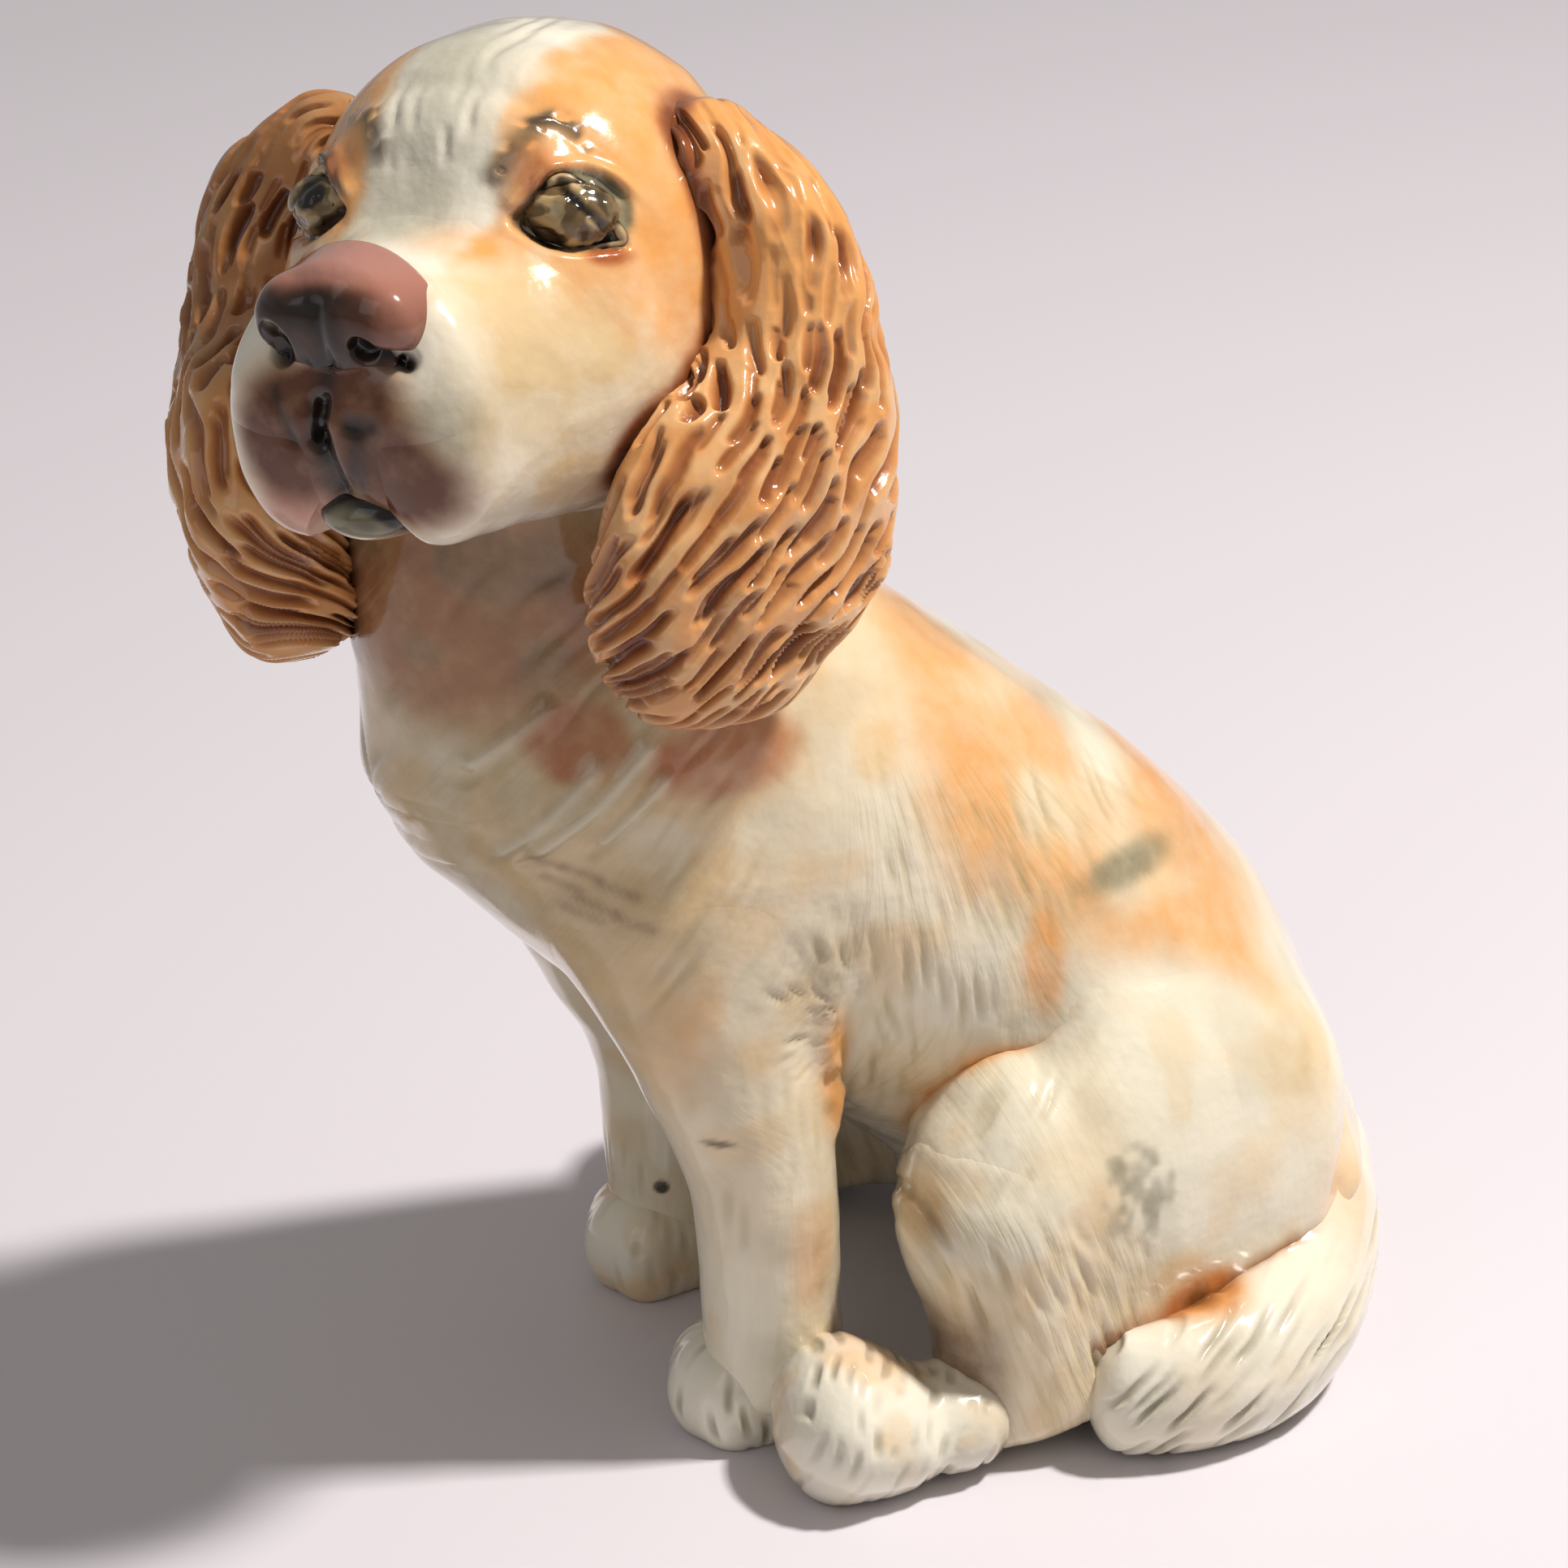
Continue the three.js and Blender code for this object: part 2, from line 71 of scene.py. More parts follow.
# Places and turns, as in the solids; the eye and the ear's root are in the head's own frame
SKULL = np.array([3.5, -36.0, 158.0])
HEAD_TURN = 41.0
HEAD_LIFT = 10.0
HEAD_TILT = -6.5
EYE = np.array([15.8, -19.0, 9.5])
EYE_TURN = {1.0: 24.0, -1.0: 11.0}
EAR_ROOT = np.array([26.0, 1.0, 15.0])
EAR_SWEEP = 22.0
EAR_DROP = {"left": 62.0, "right": 58.0}
RIGHT_EAR_FLARE = 4.5
RIGHT_SHOULDER_LEAD = 6.0
PAW_BACK = {"left": 0.0, "right": 3.0}
FOOT_BACK = {"left": 0.0, "right": 9.0}
HOLLOW_MIDDLE = 51.0
HOLLOW_HALF = np.array([16.0, 12.0])
HOLLOW_HIGH = 40.0

# The main gouges of an ear, as in the solids; the arc is that of one radian of turn
GOUGE_WIDE = 2.5
GOUGE_LONG = 6.5
GOUGE_ROWS = 5
GOUGES_IN_ROW = 3
GOUGE_START = -75.0
GOUGE_SPREAD = 115.0
GOUGE_ARC = 13.0

# Rows and columns of each piece's grid
GRIDS = {
    "torso": (300, 300),
    "neck": (150, 240),
    "cranium": (220, 280),
    "muzzle": (220, 260),
    "nose": (150, 200),
    "chin": (110, 110),
    "tail": (330, 170),
    "flew": (190, 170),
    "ear": (310, 300),
    "eye": (90, 110),
    "eyelid": (220, 40),
    "foreleg": (220, 150),
    "forepaw": (110, 130),
    "haunch": (200, 220),
    "hock": (130, 170),
    "hind_foot": (170, 190),
}

# How far, in radians, a grid's end rows stay from its poles, and how often its rows are settled
POLE_GAP = 0.02
SMOOTHING = 24
EAR_SMOOTHING = 150

# How softly pieces of clay melt into one another, and the most that a skin rises for it
BODY_MELT = 3.0
FACE_MELT = 3.4
HIP_MELT = 4.0
TOE_MELT = 1.2
MOST_RISE = 9.0


# Small sums


def unit(v):
    """Vectors divided by their lengths."""
    return v / np.maximum(np.linalg.norm(v, axis=-1, keepdims=True), 1e-9)


def ease(low, high, x):
    """Smooth step: 0 below low, 1 above high, and 3s^2 - 2s^3 of the share s between them."""
    s = np.clip((x - low) / (high - low), 0.0, 1.0)
    return s * s * (3.0 - 2.0 * s)


def axes_of(p):
    """The three coordinates of a grid of points."""
    return p[..., 0], p[..., 1], p[..., 2]


def once_round(columns):
    """Angles once round the columns of a grid."""
    return np.linspace(0, 2 * math.pi, columns, endpoint=False)[None, :, None]


def turned(axis, degrees):
    """Rotation matrix about one axis."""
    return np.array(Matrix.Rotation(math.radians(degrees), 3, axis))


HEAD = turned("Z", HEAD_TURN) @ turned("X", -HEAD_LIFT) @ turned("Y", HEAD_TILT)


def from_head(p):
    """Points of the head's own frame, turned with the head and set on the skull's middle."""
    return np.asarray(p, float) @ HEAD.T + SKULL


def to_head(p):
    """Points seen from the head's own frame."""
    return (p - SKULL) @ HEAD


# Lofts


def spline(knots, t):
    """Centripetal Catmull-Rom curve through the knots, each span taking an equal share of t.

    A span is a cubic with end slopes from the knots around it, spaced by the square roots of their
    distances; a knot is mirrored past each end.
    """
    last = len(knots) - 1
    ends = np.vstack([2 * knots[0] - knots[1], knots, 2 * knots[-1] - knots[-2]])
    place = np.clip(t, 0.0, 1.0) * last
    span = np.minimum(place.astype(int), last - 1)
    w = (place - span)[:, None]
    a, b, c, d = (ends[span + k] for k in range(4))
    before, within, after = (
        np.sqrt(np.linalg.norm(q - p, axis=1, keepdims=True)) for p, q in ((a, b), (b, c), (c, d))
    )
    within = np.where(within < 1e-4, 1.0, within)
    before = np.where(before < 1e-4, within, before)
    after = np.where(after < 1e-4, within, after)
    start = ((b - a) / before - (c - a) / (before + within) + (c - b) / within) * within
    stop = ((c - b) / within - (d - b) / (within + after) + (d - c) / after) * within
    return b + w * (start + w * (3 * (c - b) - 2 * start - stop + w * (2 * (b - c) + start + stop)))


def settled(p, times):
    """A grid whose inner rows are drawn, times over, to (the row before + 2 rows + the row after) / 4."""
    for _ in range(times):
        p[1:-1] = (p[:-2] + 2 * p[1:-1] + p[2:]) / 4
    return p


class Limb:
    """Oval sections carried along a smooth spine, with a dome at each end.

    A section is a place with a half width and a half depth; side is the way a width points.
    """

    def __init__(self, side, domes, *sections):
        self.side = np.array(side, float)
        self.domes = domes
        self.at = np.array([s[0] for s in sections], float)
        self.size = np.array([s[1:] for s in sections], float)

    def carried(self, turn, shift):
        """The same limb with its spine turned, or mirrored, and moved."""
        return Limb(
            turn @ self.side,
            self.domes,
            *[(turn @ at + np.array(shift), *size) for at, size in zip(self.at, self.size)],
        )

    def frames(self, t):
        """Spine points, forward, across and over directions, and half sizes at shares t of the spine."""
        forward = unit(spline(self.at, t + 1e-4) - spline(self.at, t - 1e-4))
        across = unit(self.side - (forward @ self.side)[:, None] * forward)
        return spline(self.at, t), forward, across, np.cross(forward, across), spline(self.size, t)

    def skin(self, rows, columns):
        """Grid of surface points.

        A row is an oval, middle + across cos(a) wide + over sin(a) deep, a going once round the columns;
        past an end the middle goes on by the dome times sin(b) and the oval shrinks by cos(b), b up to a
        right angle. The rows are then settled.
        """
        spine = spline(self.at, np.linspace(0, 1, 80))
        length = np.linalg.norm(np.diff(spine, axis=0), axis=1).sum()
        ends = [1.1 * math.hypot(dome, size.mean()) for dome, size in zip(self.domes, self.size[[0, -1]])]
        steps = [max(4, int(rows * part / (sum(ends) + length))) for part in ends]
        body = rows - sum(steps)
        t = np.concatenate([np.zeros(steps[0]), np.linspace(0, 1, body), np.ones(steps[1])])
        low = -np.linspace(1, 0, steps[0], endpoint=False)
        high = np.linspace(1, 0, steps[1], endpoint=False)[::-1]
        tilt = np.concatenate([low, np.zeros(body), high]) * (math.pi / 2 - 0.5 * POLE_GAP)
        middle, forward, across, over, size = self.frames(t)
        dome = np.where(tilt < 0, self.domes[0], self.domes[1])
        middle = middle + forward * (dome * np.sin(tilt))[:, None]
        size = size * np.cos(tilt)[:, None]
        a = once_round(columns)
        wide = (across * size[:, :1])[:, None, :]
        deep = (over * size[:, 1:])[:, None, :]
        return settled(middle[:, None, :] + wide * np.cos(a) + deep * np.sin(a), SMOOTHING)

    def outside(self, p, samples=44):
        """How far points lie outside the limb, negative inside.

        At each sample of the spine a point has a place across, over and along; the distance is its length
        q less q / r, r being its share of the oval there, and the least of the samples counts. Points well
        away from the limb are only called far.
        """
        middle, forward, across, over, size = self.frames(np.linspace(0, 1, samples))
        gap = np.linalg.norm(np.gradient(middle, axis=0), axis=1)
        slope = np.gradient(size, axis=0) / np.maximum(gap, 1e-6)[:, None]
        room = size.max() + max(self.domes) + 15.0
        near = np.all((p > middle.min(0) - room) & (p < middle.max(0) + room), axis=1)
        far = np.full(len(p), 1e3)
        if not near.any():
            return far
        q = p[near]
        along, wide, deep = (q @ axes.T - (axes * middle).sum(1) for axes in (forward, across, over))
        kept = np.clip(along, -0.6 * gap, 0.6 * gap)
        past = np.abs(along - kept)
        reach = 1.0 + 2.0 * gap
        reach[0], reach[-1] = self.domes
        first, second = (np.maximum(size[:, i] + slope[:, i] * kept, 0.5) for i in (0, 1))
        share = np.sqrt((wide / first) ** 2 + (deep / second) ** 2 + (past / reach) ** 2) + 1e-6
        length = np.sqrt(wide**2 + deep**2 + past**2)
        far[near] = (length - length / share).min(1)
        return far


MIRROR = np.diag([-1.0, 1.0, 1.0])


def mirrored(limb, shift=(0.0, 0.0, 0.0)):
    """The right-hand twin of a limb."""
    return limb.carried(MIRROR, shift)


def in_head(limb):
    """A limb of the head's own frame, where the head has it."""
    return limb.carried(HEAD, SKULL)


def loft(side, domes, base, *sections):
    """A limb whose sections have shares of a base size, across and over."""
    return Limb(side, domes, *[(at, wide * base[0], deep * base[1]) for at, wide, deep in sections])


# Sections of an ear: share of its drop, way out and back from its root, shares of its size
EAR_LEAF = (
    (0.0, -3.0, 0.0, 0.28, 0.55),
    (0.18, 5.0, 1.0, 0.38, 0.95),
    (0.37, 7.5, 1.5, 0.51, 1.0),
    (0.55, 7.5, -1.5, 0.77, 1.03),
    (0.71, 5.5, -6.0, 1.0, 1.0),
    (0.855, 2.5, -8.0, 0.97, 0.95),
    (1.0, 0.0, -8.0, 0.69, 0.8),
)


def ear_leaf(drop):
    """The left ear: a leaf whose sections hang at shares of the drop below its root."""
    sweep = math.radians(EAR_SWEEP)
    sections = [
        (EAR_ROOT + np.array([out, back, -share * drop]), wide, deep)
        for share, out, back, wide, deep in EAR_LEAF
    ]
    return loft((math.sin(sweep), math.cos(sweep), 0.0), (4.0, 6.0), EAR_SIZE, *sections)


def foreleg(lead):
    """The left foreleg, its shoulder this far ahead of its paw's own place."""
    return loft(
        LEFT,
        (8.0, 4.0),
        FOREARM_SIZE,
        ((17, -22 - lead, 78), 1.35, 1.8),
        ((20, -18 - 0.6 * lead, 57), 1.15, 1.3),
        ((23, -14, 37), 1, 1),
        ((22, -12.5, 17), 0.95, 0.95),
        ((22, -12, 8), 0.95, 0.95),
    )


limbs = {
    "torso": loft(
        LEFT,
        (34.0, 10.0),
        BODY_SIZE,
        ((0, 46, 20), 1.06, 0.9),
        ((0, 38, 43), 1.03, 1),
        ((0, 14, 66), 1, 1),
        ((0, -13, 86.5), 0.97, 1.02),
        ((0, -28, 102), 0.85, 1.02),
    ),
    "neck": loft(
        LEFT,
        (14.0, 6.0),
        NECK_SIZE,
        ((0, -29, 100), 1.15, 1.2),
        ((0, -34, 118), 1, 1),
        ((2, -32, 140), 0.95, 0.95),
    ),
    "foreleg_left": foreleg(0.0),
    "foreleg_right": mirrored(foreleg(RIGHT_SHOULDER_LEAD), (0, PAW_BACK["right"], 0)),
    "haunch_left": loft(
        LEFT,
        (12.0, 10.0),
        THIGH_SIZE,
        ((24, 53.2, 27), 0.9, 0.85),
        ((28, 34, 32), 1, 1),
        ((32, 14.8, 37), 0.88, 0.62),
    ),
    "hock_left": Limb(
        LEFT,
        (6.0, 6.0),
        ((35, 12, 34), SHANK_WIDE, 10),
        ((36, 16, 20), SHANK_WIDE, 11.5),
        ((36, 20, 8), SHANK_WIDE, 15),
    ),
    "hind_foot_left": loft(
        LEFT,
        (6.0, 9.0),
        FOOT_SIZE,
        ((40, 7, 7), 0.6, 0.66),
        ((39, 0, 7), 0.78, 0.8),
        ((38, -9, 9), 1, 1),
    ),
    "tail": loft(
        UP,
        (6.0, 5.0),
        TAIL_SIZE,
        ((0, 67, 25), 0.85, 1),
        ((14, 68, 21), 0.95, 1),
        ((27, 64, 15), 1, 1),
        ((37, 57, 11), 1, 1),
        ((44, 47, 9.5), 1, 1),
        ((47, 36, 9.5), 0.9, 0.9),
        ((46, 27, 9.5), 0.82, 0.78),
    ),
    "cranium": loft(
        LEFT,
        (8.0, 10.0),
        SKULL_SIZE,
        ((0, 19.5, -2), 0.7, 0.68),
        ((0, 5.2, 2), 1, 1),
        ((0, -6.5, 1.5), 0.98, 1),
        ((0, -14.3, 0), 0.86, 0.88),
    ),
    "muzzle": loft(
        LEFT,
        (6.0, 5.0),
        MUZZLE_SIZE,
        ((0, -4, -9), 1.6, 1.35),
        ((0, -21, -7), 1.4, 1.2),
        ((0, -33.6, -6.5), 1.1, 1),
        ((0, -40.3, -6.5), 0.95, 0.9),
    ),
    "flew_left": loft(
        LEFT,
        (6.0, 6.0),
        FLEW_SIZE,
        ((14, -8, -14), 1.1, 0.95),
        ((10.075, -26, -15), 1.05, 1),
        ((8.455, -39, -15.5), 0.9, 1),
    ),
    "nose": loft(
        LEFT,
        (3.0, 4.0),
        NOSE_SIZE,
        ((0, -40.3, 0.5), 1, 1),
        ((0, -45, 0), 0.92, 0.88),
    ),
    "chin": Limb(
        LEFT,
        (5.0, 4.0),
        ((0, -8, -22), 9.6, 6),
        ((0, -25.2, -22.5), 7.6, 5),
        ((0, -40.74, -23.5), 6.0, 3.3),
    ),
    "ear_left": ear_leaf(EAR_DROP["left"]),
    "ear_right": mirrored(ear_leaf(EAR_DROP["right"]), (-RIGHT_EAR_FLARE, 0, 0)),
}
limbs["flew_right"] = mirrored(limbs["flew_left"])
for part in ("cranium", "muzzle", "flew_left", "flew_right", "nose", "chin", "ear_left", "ear_right"):
    limbs[part] = in_head(limbs[part])
for part, back in (("haunch", 0), ("hock", 0), ("hind_foot", FOOT_BACK["right"])):
    limbs[f"{part}_right"] = mirrored(limbs[f"{part}_left"], (0, back, 0))

BODY = ("torso", "neck", "foreleg_left", "foreleg_right")
FACE = ("cranium", "muzzle", "flew_left", "flew_right")
HIPS = ("haunch_left", "haunch_right")
EARS = ("ear_left", "ear_right")


# Working the clay


def normals(p):
    """Outward directions of a grid that closes round its columns: the cross product of its two slopes."""
    around = np.roll(p, -1, axis=1) - np.roll(p, 1, axis=1)
    along = np.gradient(p, axis=0)
    return unit(np.cross(around, along))


def raised(p, height):
    """A grid moved along its normals."""
    return p + normals(p) * height[..., None]


def sampled(p, work, step=3):
    """Values that work gives for every third row and column of a grid, spread smoothly over all of it.

    Between the sampled points a value is bilinear, and the mean of three neighbours, taken twice each way,
    rounds it off.
    """
    rows, columns = p.shape[:2]
    down = np.unique(np.append(np.arange(0, rows, step), rows - 1))
    around = np.arange(0, columns, step)
    at = np.ix_(down, around)
    values = work(p[at].reshape(-1, 3), normals(p)[at].reshape(-1, 3)).reshape(len(down), len(around))
    r = np.interp(np.arange(rows), down, np.arange(len(down)))
    c = np.interp(np.arange(columns), np.append(around, columns), np.arange(len(around) + 1))
    low, left = np.minimum(r.astype(int), len(down) - 2), c.astype(int)
    right = (left + 1) % len(around)
    u, w = (r - low)[:, None], (c - left)[None]
    upper = values[low][:, left] * (1 - w) + values[low][:, right] * w
    lower = values[low + 1][:, left] * (1 - w) + values[low + 1][:, right] * w
    full = upper * (1 - u) + lower * u
    for _ in range(2):
        full = (np.roll(full, 1, axis=1) + full + np.roll(full, -1, axis=1)) / 3
        padded = np.pad(full, ((1, 1), (0, 0)), mode="edge")
        full = (padded[:-2] + full + padded[2:]) / 3
    return full


def nearest_of(names, q):
    """How far points lie outside the nearest of several limbs."""
    return np.min([limbs[name].outside(q) for name in names], axis=0)


def melted(q, n, mates, k):
    """How far skin points q rise along their normals n to lie on one surface with other limbs.

    That surface is where the smooth least of the distances, -k log of the sum of exp(-d / k), is zero. A
    point stays down where it is deep inside a mate, and sinks a little where a mate is nearer.
    """
    deep = nearest_of(mates, q)
    h = np.zeros(len(q))
    for _ in range(6):
        away = [limbs[m].outside(q + h[:, None] * n) for m in mates]
        total = np.exp(-h / k) + sum(np.exp(-np.maximum(b, -40.0) / k) for b in away)
        h = np.clip(h + 0.8 * k * np.log(total), 0.0, MOST_RISE)
    under = 0.3 * ease(0.2, 2.0, h - np.min(away, axis=0))
    return h * ease(-7.0, -3.0, deep) - under


def hip(p):
    """The share by which a thigh and the body flow into one surface: none at the knee, all at the hip."""
    return ease(18, 28, p[:, 1])


def fold(p):
    """The width of the fold between a thigh and the body, closing where they flow together."""
    return 0.01 + 2.5 * (1 - hip(p))


def mates_of(name, family):
    """The other pieces of a family that share one surface."""
    return tuple(other for other in family if other != name)


def grid_of(name):
    """Rows and columns of a piece's grid, by its name without its side."""
    return GRIDS[name.removesuffix("_left").removesuffix("_right")]


def modelled(name, mates=(), melt=BODY_MELT, joins=(), hips=()):
    """The skin of a limb, melted into its mates and drawn up a little to the pieces that it meets.

    It melts into the hips only by the share that hip gives. Where a piece that it meets is within k, it
    rises by (k - |b - e|)^2 / 4k more, b being the distance to that piece and e the rise so far.
    """
    p = limbs[name].skin(*grid_of(name))

    def rise(q, n):
        """The rise of skin points q along their normals n."""
        h = melted(q, n, mates, melt) if mates else np.zeros(len(q))
        if hips:
            h = h + hip(q) * (melted(q, n, mates + hips, HIP_MELT) - h)
        e = np.zeros(len(q))
        for _ in range(4 if joins else 0):
            cubes = np.zeros(len(q))
            for m, width in joins:
                k = width(q) if callable(width) else width
                b = limbs[m].outside(q + (h + e)[:, None] * n)
                cubes += (np.maximum(k - np.abs(b - e), 0) ** 2 / (4 * k)) ** 3
            e = 0.4 * e + 0.6 * np.cbrt(cubes)
        return h + e

    return raised(p, sampled(p, rise))


def crease(p, names, width):
    """How near points lie to other pieces: 1 where they touch, fading to 0 at a width from them."""
    return sampled(p, lambda q, n: ease(width, 0.15 * width, nearest_of(names, q)))


def shell(middle, axis, parts, k, rows, columns, reach=40.0):
    """Grid on the outside of several limbs pressed together, seen from one point inside them.

    A direction goes by two angles about the axis; along it, halving finds where the smooth least of the
    limbs' distances, -k log of the sum of exp(-d / k), is zero.
    """
    axis = unit(np.array(axis, float))
    first = unit(np.cross(axis, UP if abs(axis[2]) < 0.9 else LEFT))
    second = np.cross(axis, first)
    b = np.linspace(-1, 1, rows)[:, None, None] * (math.pi / 2 - POLE_GAP)
    a = once_round(columns)
    way = axis * np.sin(b) + (first * np.cos(a) + second * np.sin(a)) * np.cos(b)
    flat = way.reshape(-1, 3)
    low = np.zeros(len(flat))
    high = np.full(len(flat), reach)
    for _ in range(16):
        r = 0.5 * (low + high)
        p = middle + flat * r[:, None]
        d = -k * np.log(sum(np.exp(-limb.outside(p) / k) for limb in parts))
        low = np.where(d < 0, r, low)
        high = np.where(d < 0, high, r)
    return (middle + flat * low[:, None]).reshape(way.shape)


def standing(p):
    """A grid pressed flat on the floor."""
    return np.dstack([p[..., :2], np.maximum(p[..., 2], 0.0)])


def scooped(p):
    """The foot of the body, flat on the floor, with the hollow: a straight pocket under a rounded roof.

    Its height is the full height times the cube root of 1 - r^6, r being the fourth root of the summed
    fourth powers of the shares of its half width and half depth.
    """
    below = p[..., 2] < 0
    share = (np.abs(p[..., :2] - np.array([0.0, HOLLOW_MIDDLE])) / HOLLOW_HALF) ** 4
    r = np.minimum(share.sum(-1) ** 0.25, 1.0)
    roof = HOLLOW_HIGH * np.cbrt(1 - r**6)
    return np.dstack([p[..., :2], np.where(below, roof, p[..., 2])])


# Marks of the tools and the brush

CELLS = 40
TABLE = np.random.default_rng(7).random((CELLS, CELLS, CELLS, 4))

# Cuts of each coat: how far apart, how long, the seed of their places, half width as a share of the spacing
COATS = {
    "crown": (2.6, 7.0, 57, 0.22),
    "chest": (2.6, 15.0, 30, 0.22),
    "flank": (2.0, 13.0, 32, 0.22),
    "leg": (2.4, 12.0, 34, 0.22),
    "elbow": (1.9, 7.0, 38, 0.22),
    "feather": (1.5, 7.0, 39, 0.22),
    "shin": (2.3, 11.0, 40, 0.22),
    "crest": (2.2, 10.0, 42, 0.22),
    "forepaw": (2.6, 8.0, 50, 0.22),
    "hind_foot": (2.4, 6.5, 14, 0.2),
    "tail": (2.0, 11.0, 16, 0.24),
}

# How deep the cuts of each part go
CUT_DEEP = {
    "crown": 0.45,
    "body": 0.6,
    "hind": 0.75,
    "forepaw": 0.5,
    "hind_foot": 0.7,
    "tail": 1.1,
    "ear": 2.1,
}


def soft_noise(p, scale, seed):
    """Smooth random values from 0 to 1: a random number at each corner of a lattice, eased in between."""
    u = p / scale
    cell = np.floor(u).astype(int)
    s = u - cell
    s = s * s * (3 - 2 * s)
    total = np.zeros(p.shape[:-1])
    for step in np.ndindex(2, 2, 2):
        a, b, c = axes_of(cell + np.array(step))
        corner = TABLE[(a + 3 * seed) % CELLS, (b + seed) % CELLS, c % CELLS, seed % 4]
        total += corner * np.prod(np.where(np.array(step) == 1, s, 1 - s), axis=-1)
    return total


def lumpy(p, scale, seed):
    """Soft noise about 0, from -0.5 to 0.5."""
    return soft_noise(p, scale, seed) - 0.5


def patchy(p, scale, seed, low, high):
    """Patches of soft noise: 0 where it is below low, 1 above high."""
    return ease(low, high, soft_noise(p, scale, seed))


def dab(p, at, size, soft):
    """A brush dab: 1 inside an ellipsoid of half sizes, fading over a share of them to 0."""
    return ease(1 + soft, 1 - soft, np.linalg.norm((p - np.array(at)) / np.array(size), axis=-1))


def strand(p, start, stop, width):
    """A lock of hair or a brush stroke: exp(-(d / width)^2), d being the distance to a segment."""
    start, stop = np.array(start, float), np.array(stop, float)
    way = stop - start
    t = np.clip((p - start) @ way / (way @ way), 0.0, 1.0)
    d = np.linalg.norm(p - start - t[..., None] * way, axis=-1)
    return np.exp(-((d / width) ** 2))


def hairs(coat, u, v, p):
    """Cuts of a pointed tool, side by side.

    They lie on lines of equal u, which are wide apart and which soft noise of the place p bends; each line
    is broken along v into strokes about this long, of random place, weight and number.
    """
    wide, long, seed, thin = COATS[coat]
    row = u / wide + 0.9 * lumpy(p, 9.0, seed) + 0.2 * lumpy(p, 3.5, seed + 1)
    line = np.floor(row).astype(int)
    place = v / long + 5.0 * TABLE[line % CELLS, seed % CELLS, 0, 0]
    cell = np.floor(place).astype(int)
    mark = TABLE[line % CELLS, cell % CELLS, seed % CELLS]
    s = np.abs(row - line - 0.5 - 0.3 * (mark[..., 0] - 0.5))
    ends = ease(0.0, 0.4, place - cell) * ease(1.0, 0.5, place - cell)
    weight = (0.2 + 0.8 * mark[..., 1]) * (mark[..., 2] > 0.25)
    return ease(thin + 0.18, 0.4 * thin, s) * ends * weight


def gouges(u, v, wide, long, seed, thin):
    """Wedge-shaped cuts of a loop tool, in staggered columns.

    Columns are wide apart in u and hold a cut for each long of v, of random place, length and weight. A
    cut's half width is thin times its weight times the root of 4 s (1 - s), s being a share of its length,
    and it ends short of its column's edges.
    """
    row = u / wide
    line = np.floor(row).astype(int)
    place = v / long + 7.0 * TABLE[line % CELLS, seed % CELLS, 1, 0]
    cell = np.floor(place).astype(int)
    mark = TABLE[line % CELLS, cell % CELLS, seed % CELLS]
    start = 0.16 * mark[..., 1]
    s = np.clip((place - cell - start) / (1 - 0.22 * mark[..., 2] - start), 0, 1)
    bow = 4 * s * (1 - s)
    weight = 0.5 + 0.5 * mark[..., 3]
    half = thin * weight * np.sqrt(bow)
    across = row - line - 0.5
    away = np.abs(across - 0.34 * (mark[..., 0] - 0.5) - 0.3 * (s - 0.5) * (mark[..., 1] - 0.5))
    inside = ease(0.5, 0.36, np.abs(across))
    return ease(half + 0.17, 0.2 * half, away) * ease(0, 0.6, bow) * weight * inside


# Eyes: the almond of the lids and the band of glaze over it, outward and upward of the eye's middle

EYE_LINE = (
    *((6.2, -3.8), (5.1, -1.6), (3.5, 0.5), (1.9, 2.1), (0.1, 3.2), (-1.6, 2.9)),
    *((-3.4, 0.7), (-5.8, -1.2), (-4.0, -3.1), (-1.7, -4.3), (1.0, -4.8), (3.8, -4.5)),
)
BAND_LINE = (
    *((6.6, -4.6), (7.3, -2.2), (6.8, 0.8), (4.8, 3.0), (1.9, 4.2), (-0.8, 3.9), (-2.4, 3.0)),
    *((-3.6, 0.7), (-5.8, -1.2), (-4.0, -3.2), (0.0, -4.9), (3.8, -4.9)),
)


def closed_curve(knots, count):
    """A smooth closed curve through knots, at equal shares of it."""
    n = len(knots)
    wrapped = np.array(knots)[np.arange(-3, n + 4) % n]
    return spline(wrapped, (3 + n * np.arange(count) / count) / (n + 6))


ALMOND = closed_curve(EYE_LINE, 240)
BAND = closed_curve(BAND_LINE, 240)


def eye_middle(sign):
    """An eye's middle, in the head's own frame."""
    return EYE * np.array([sign, 1.0, 1.0])


def eye_axes(sign):
    """An eye's outward, upward and forward axes, in the head's own frame."""
    turn = math.radians(EYE_TURN[sign])
    look = unit(np.array([sign * math.sin(turn), -math.cos(turn), 0.2]))
    out = unit(np.cross(UP, look)) * sign
    return out, np.cross(look, out) * sign, look


def sight(h, sign):
    """Places outward, upward and forward of an eye's middle, in the head's own frame."""
    away = h - eye_middle(sign)
    return tuple(away @ axis for axis in eye_axes(sign))


def eye_share(out, up, curve=ALMOND):
    """How far places lie from an eye's middle, as shares of a closed curve's reach in their directions."""
    angle = np.arctan2(curve[:, 1], curve[:, 0])
    reach = np.interp(np.arctan2(up, out), angle, np.linalg.norm(curve, axis=1), period=2 * math.pi)
    return np.hypot(out, up) / reach


# Paint: every mask is a soft-edged place on the dog, so neighbouring pieces carry the same brush work

PAINTS = ("tan", "orange", "carve", "green", "pink", "rust", "brown", "dark", "fur", "flow_u", "flow_v")
STRONG = ("green", "rust", "brown", "dark")
STRENGTH = 1.7
FLOW_RANGE = 400.0

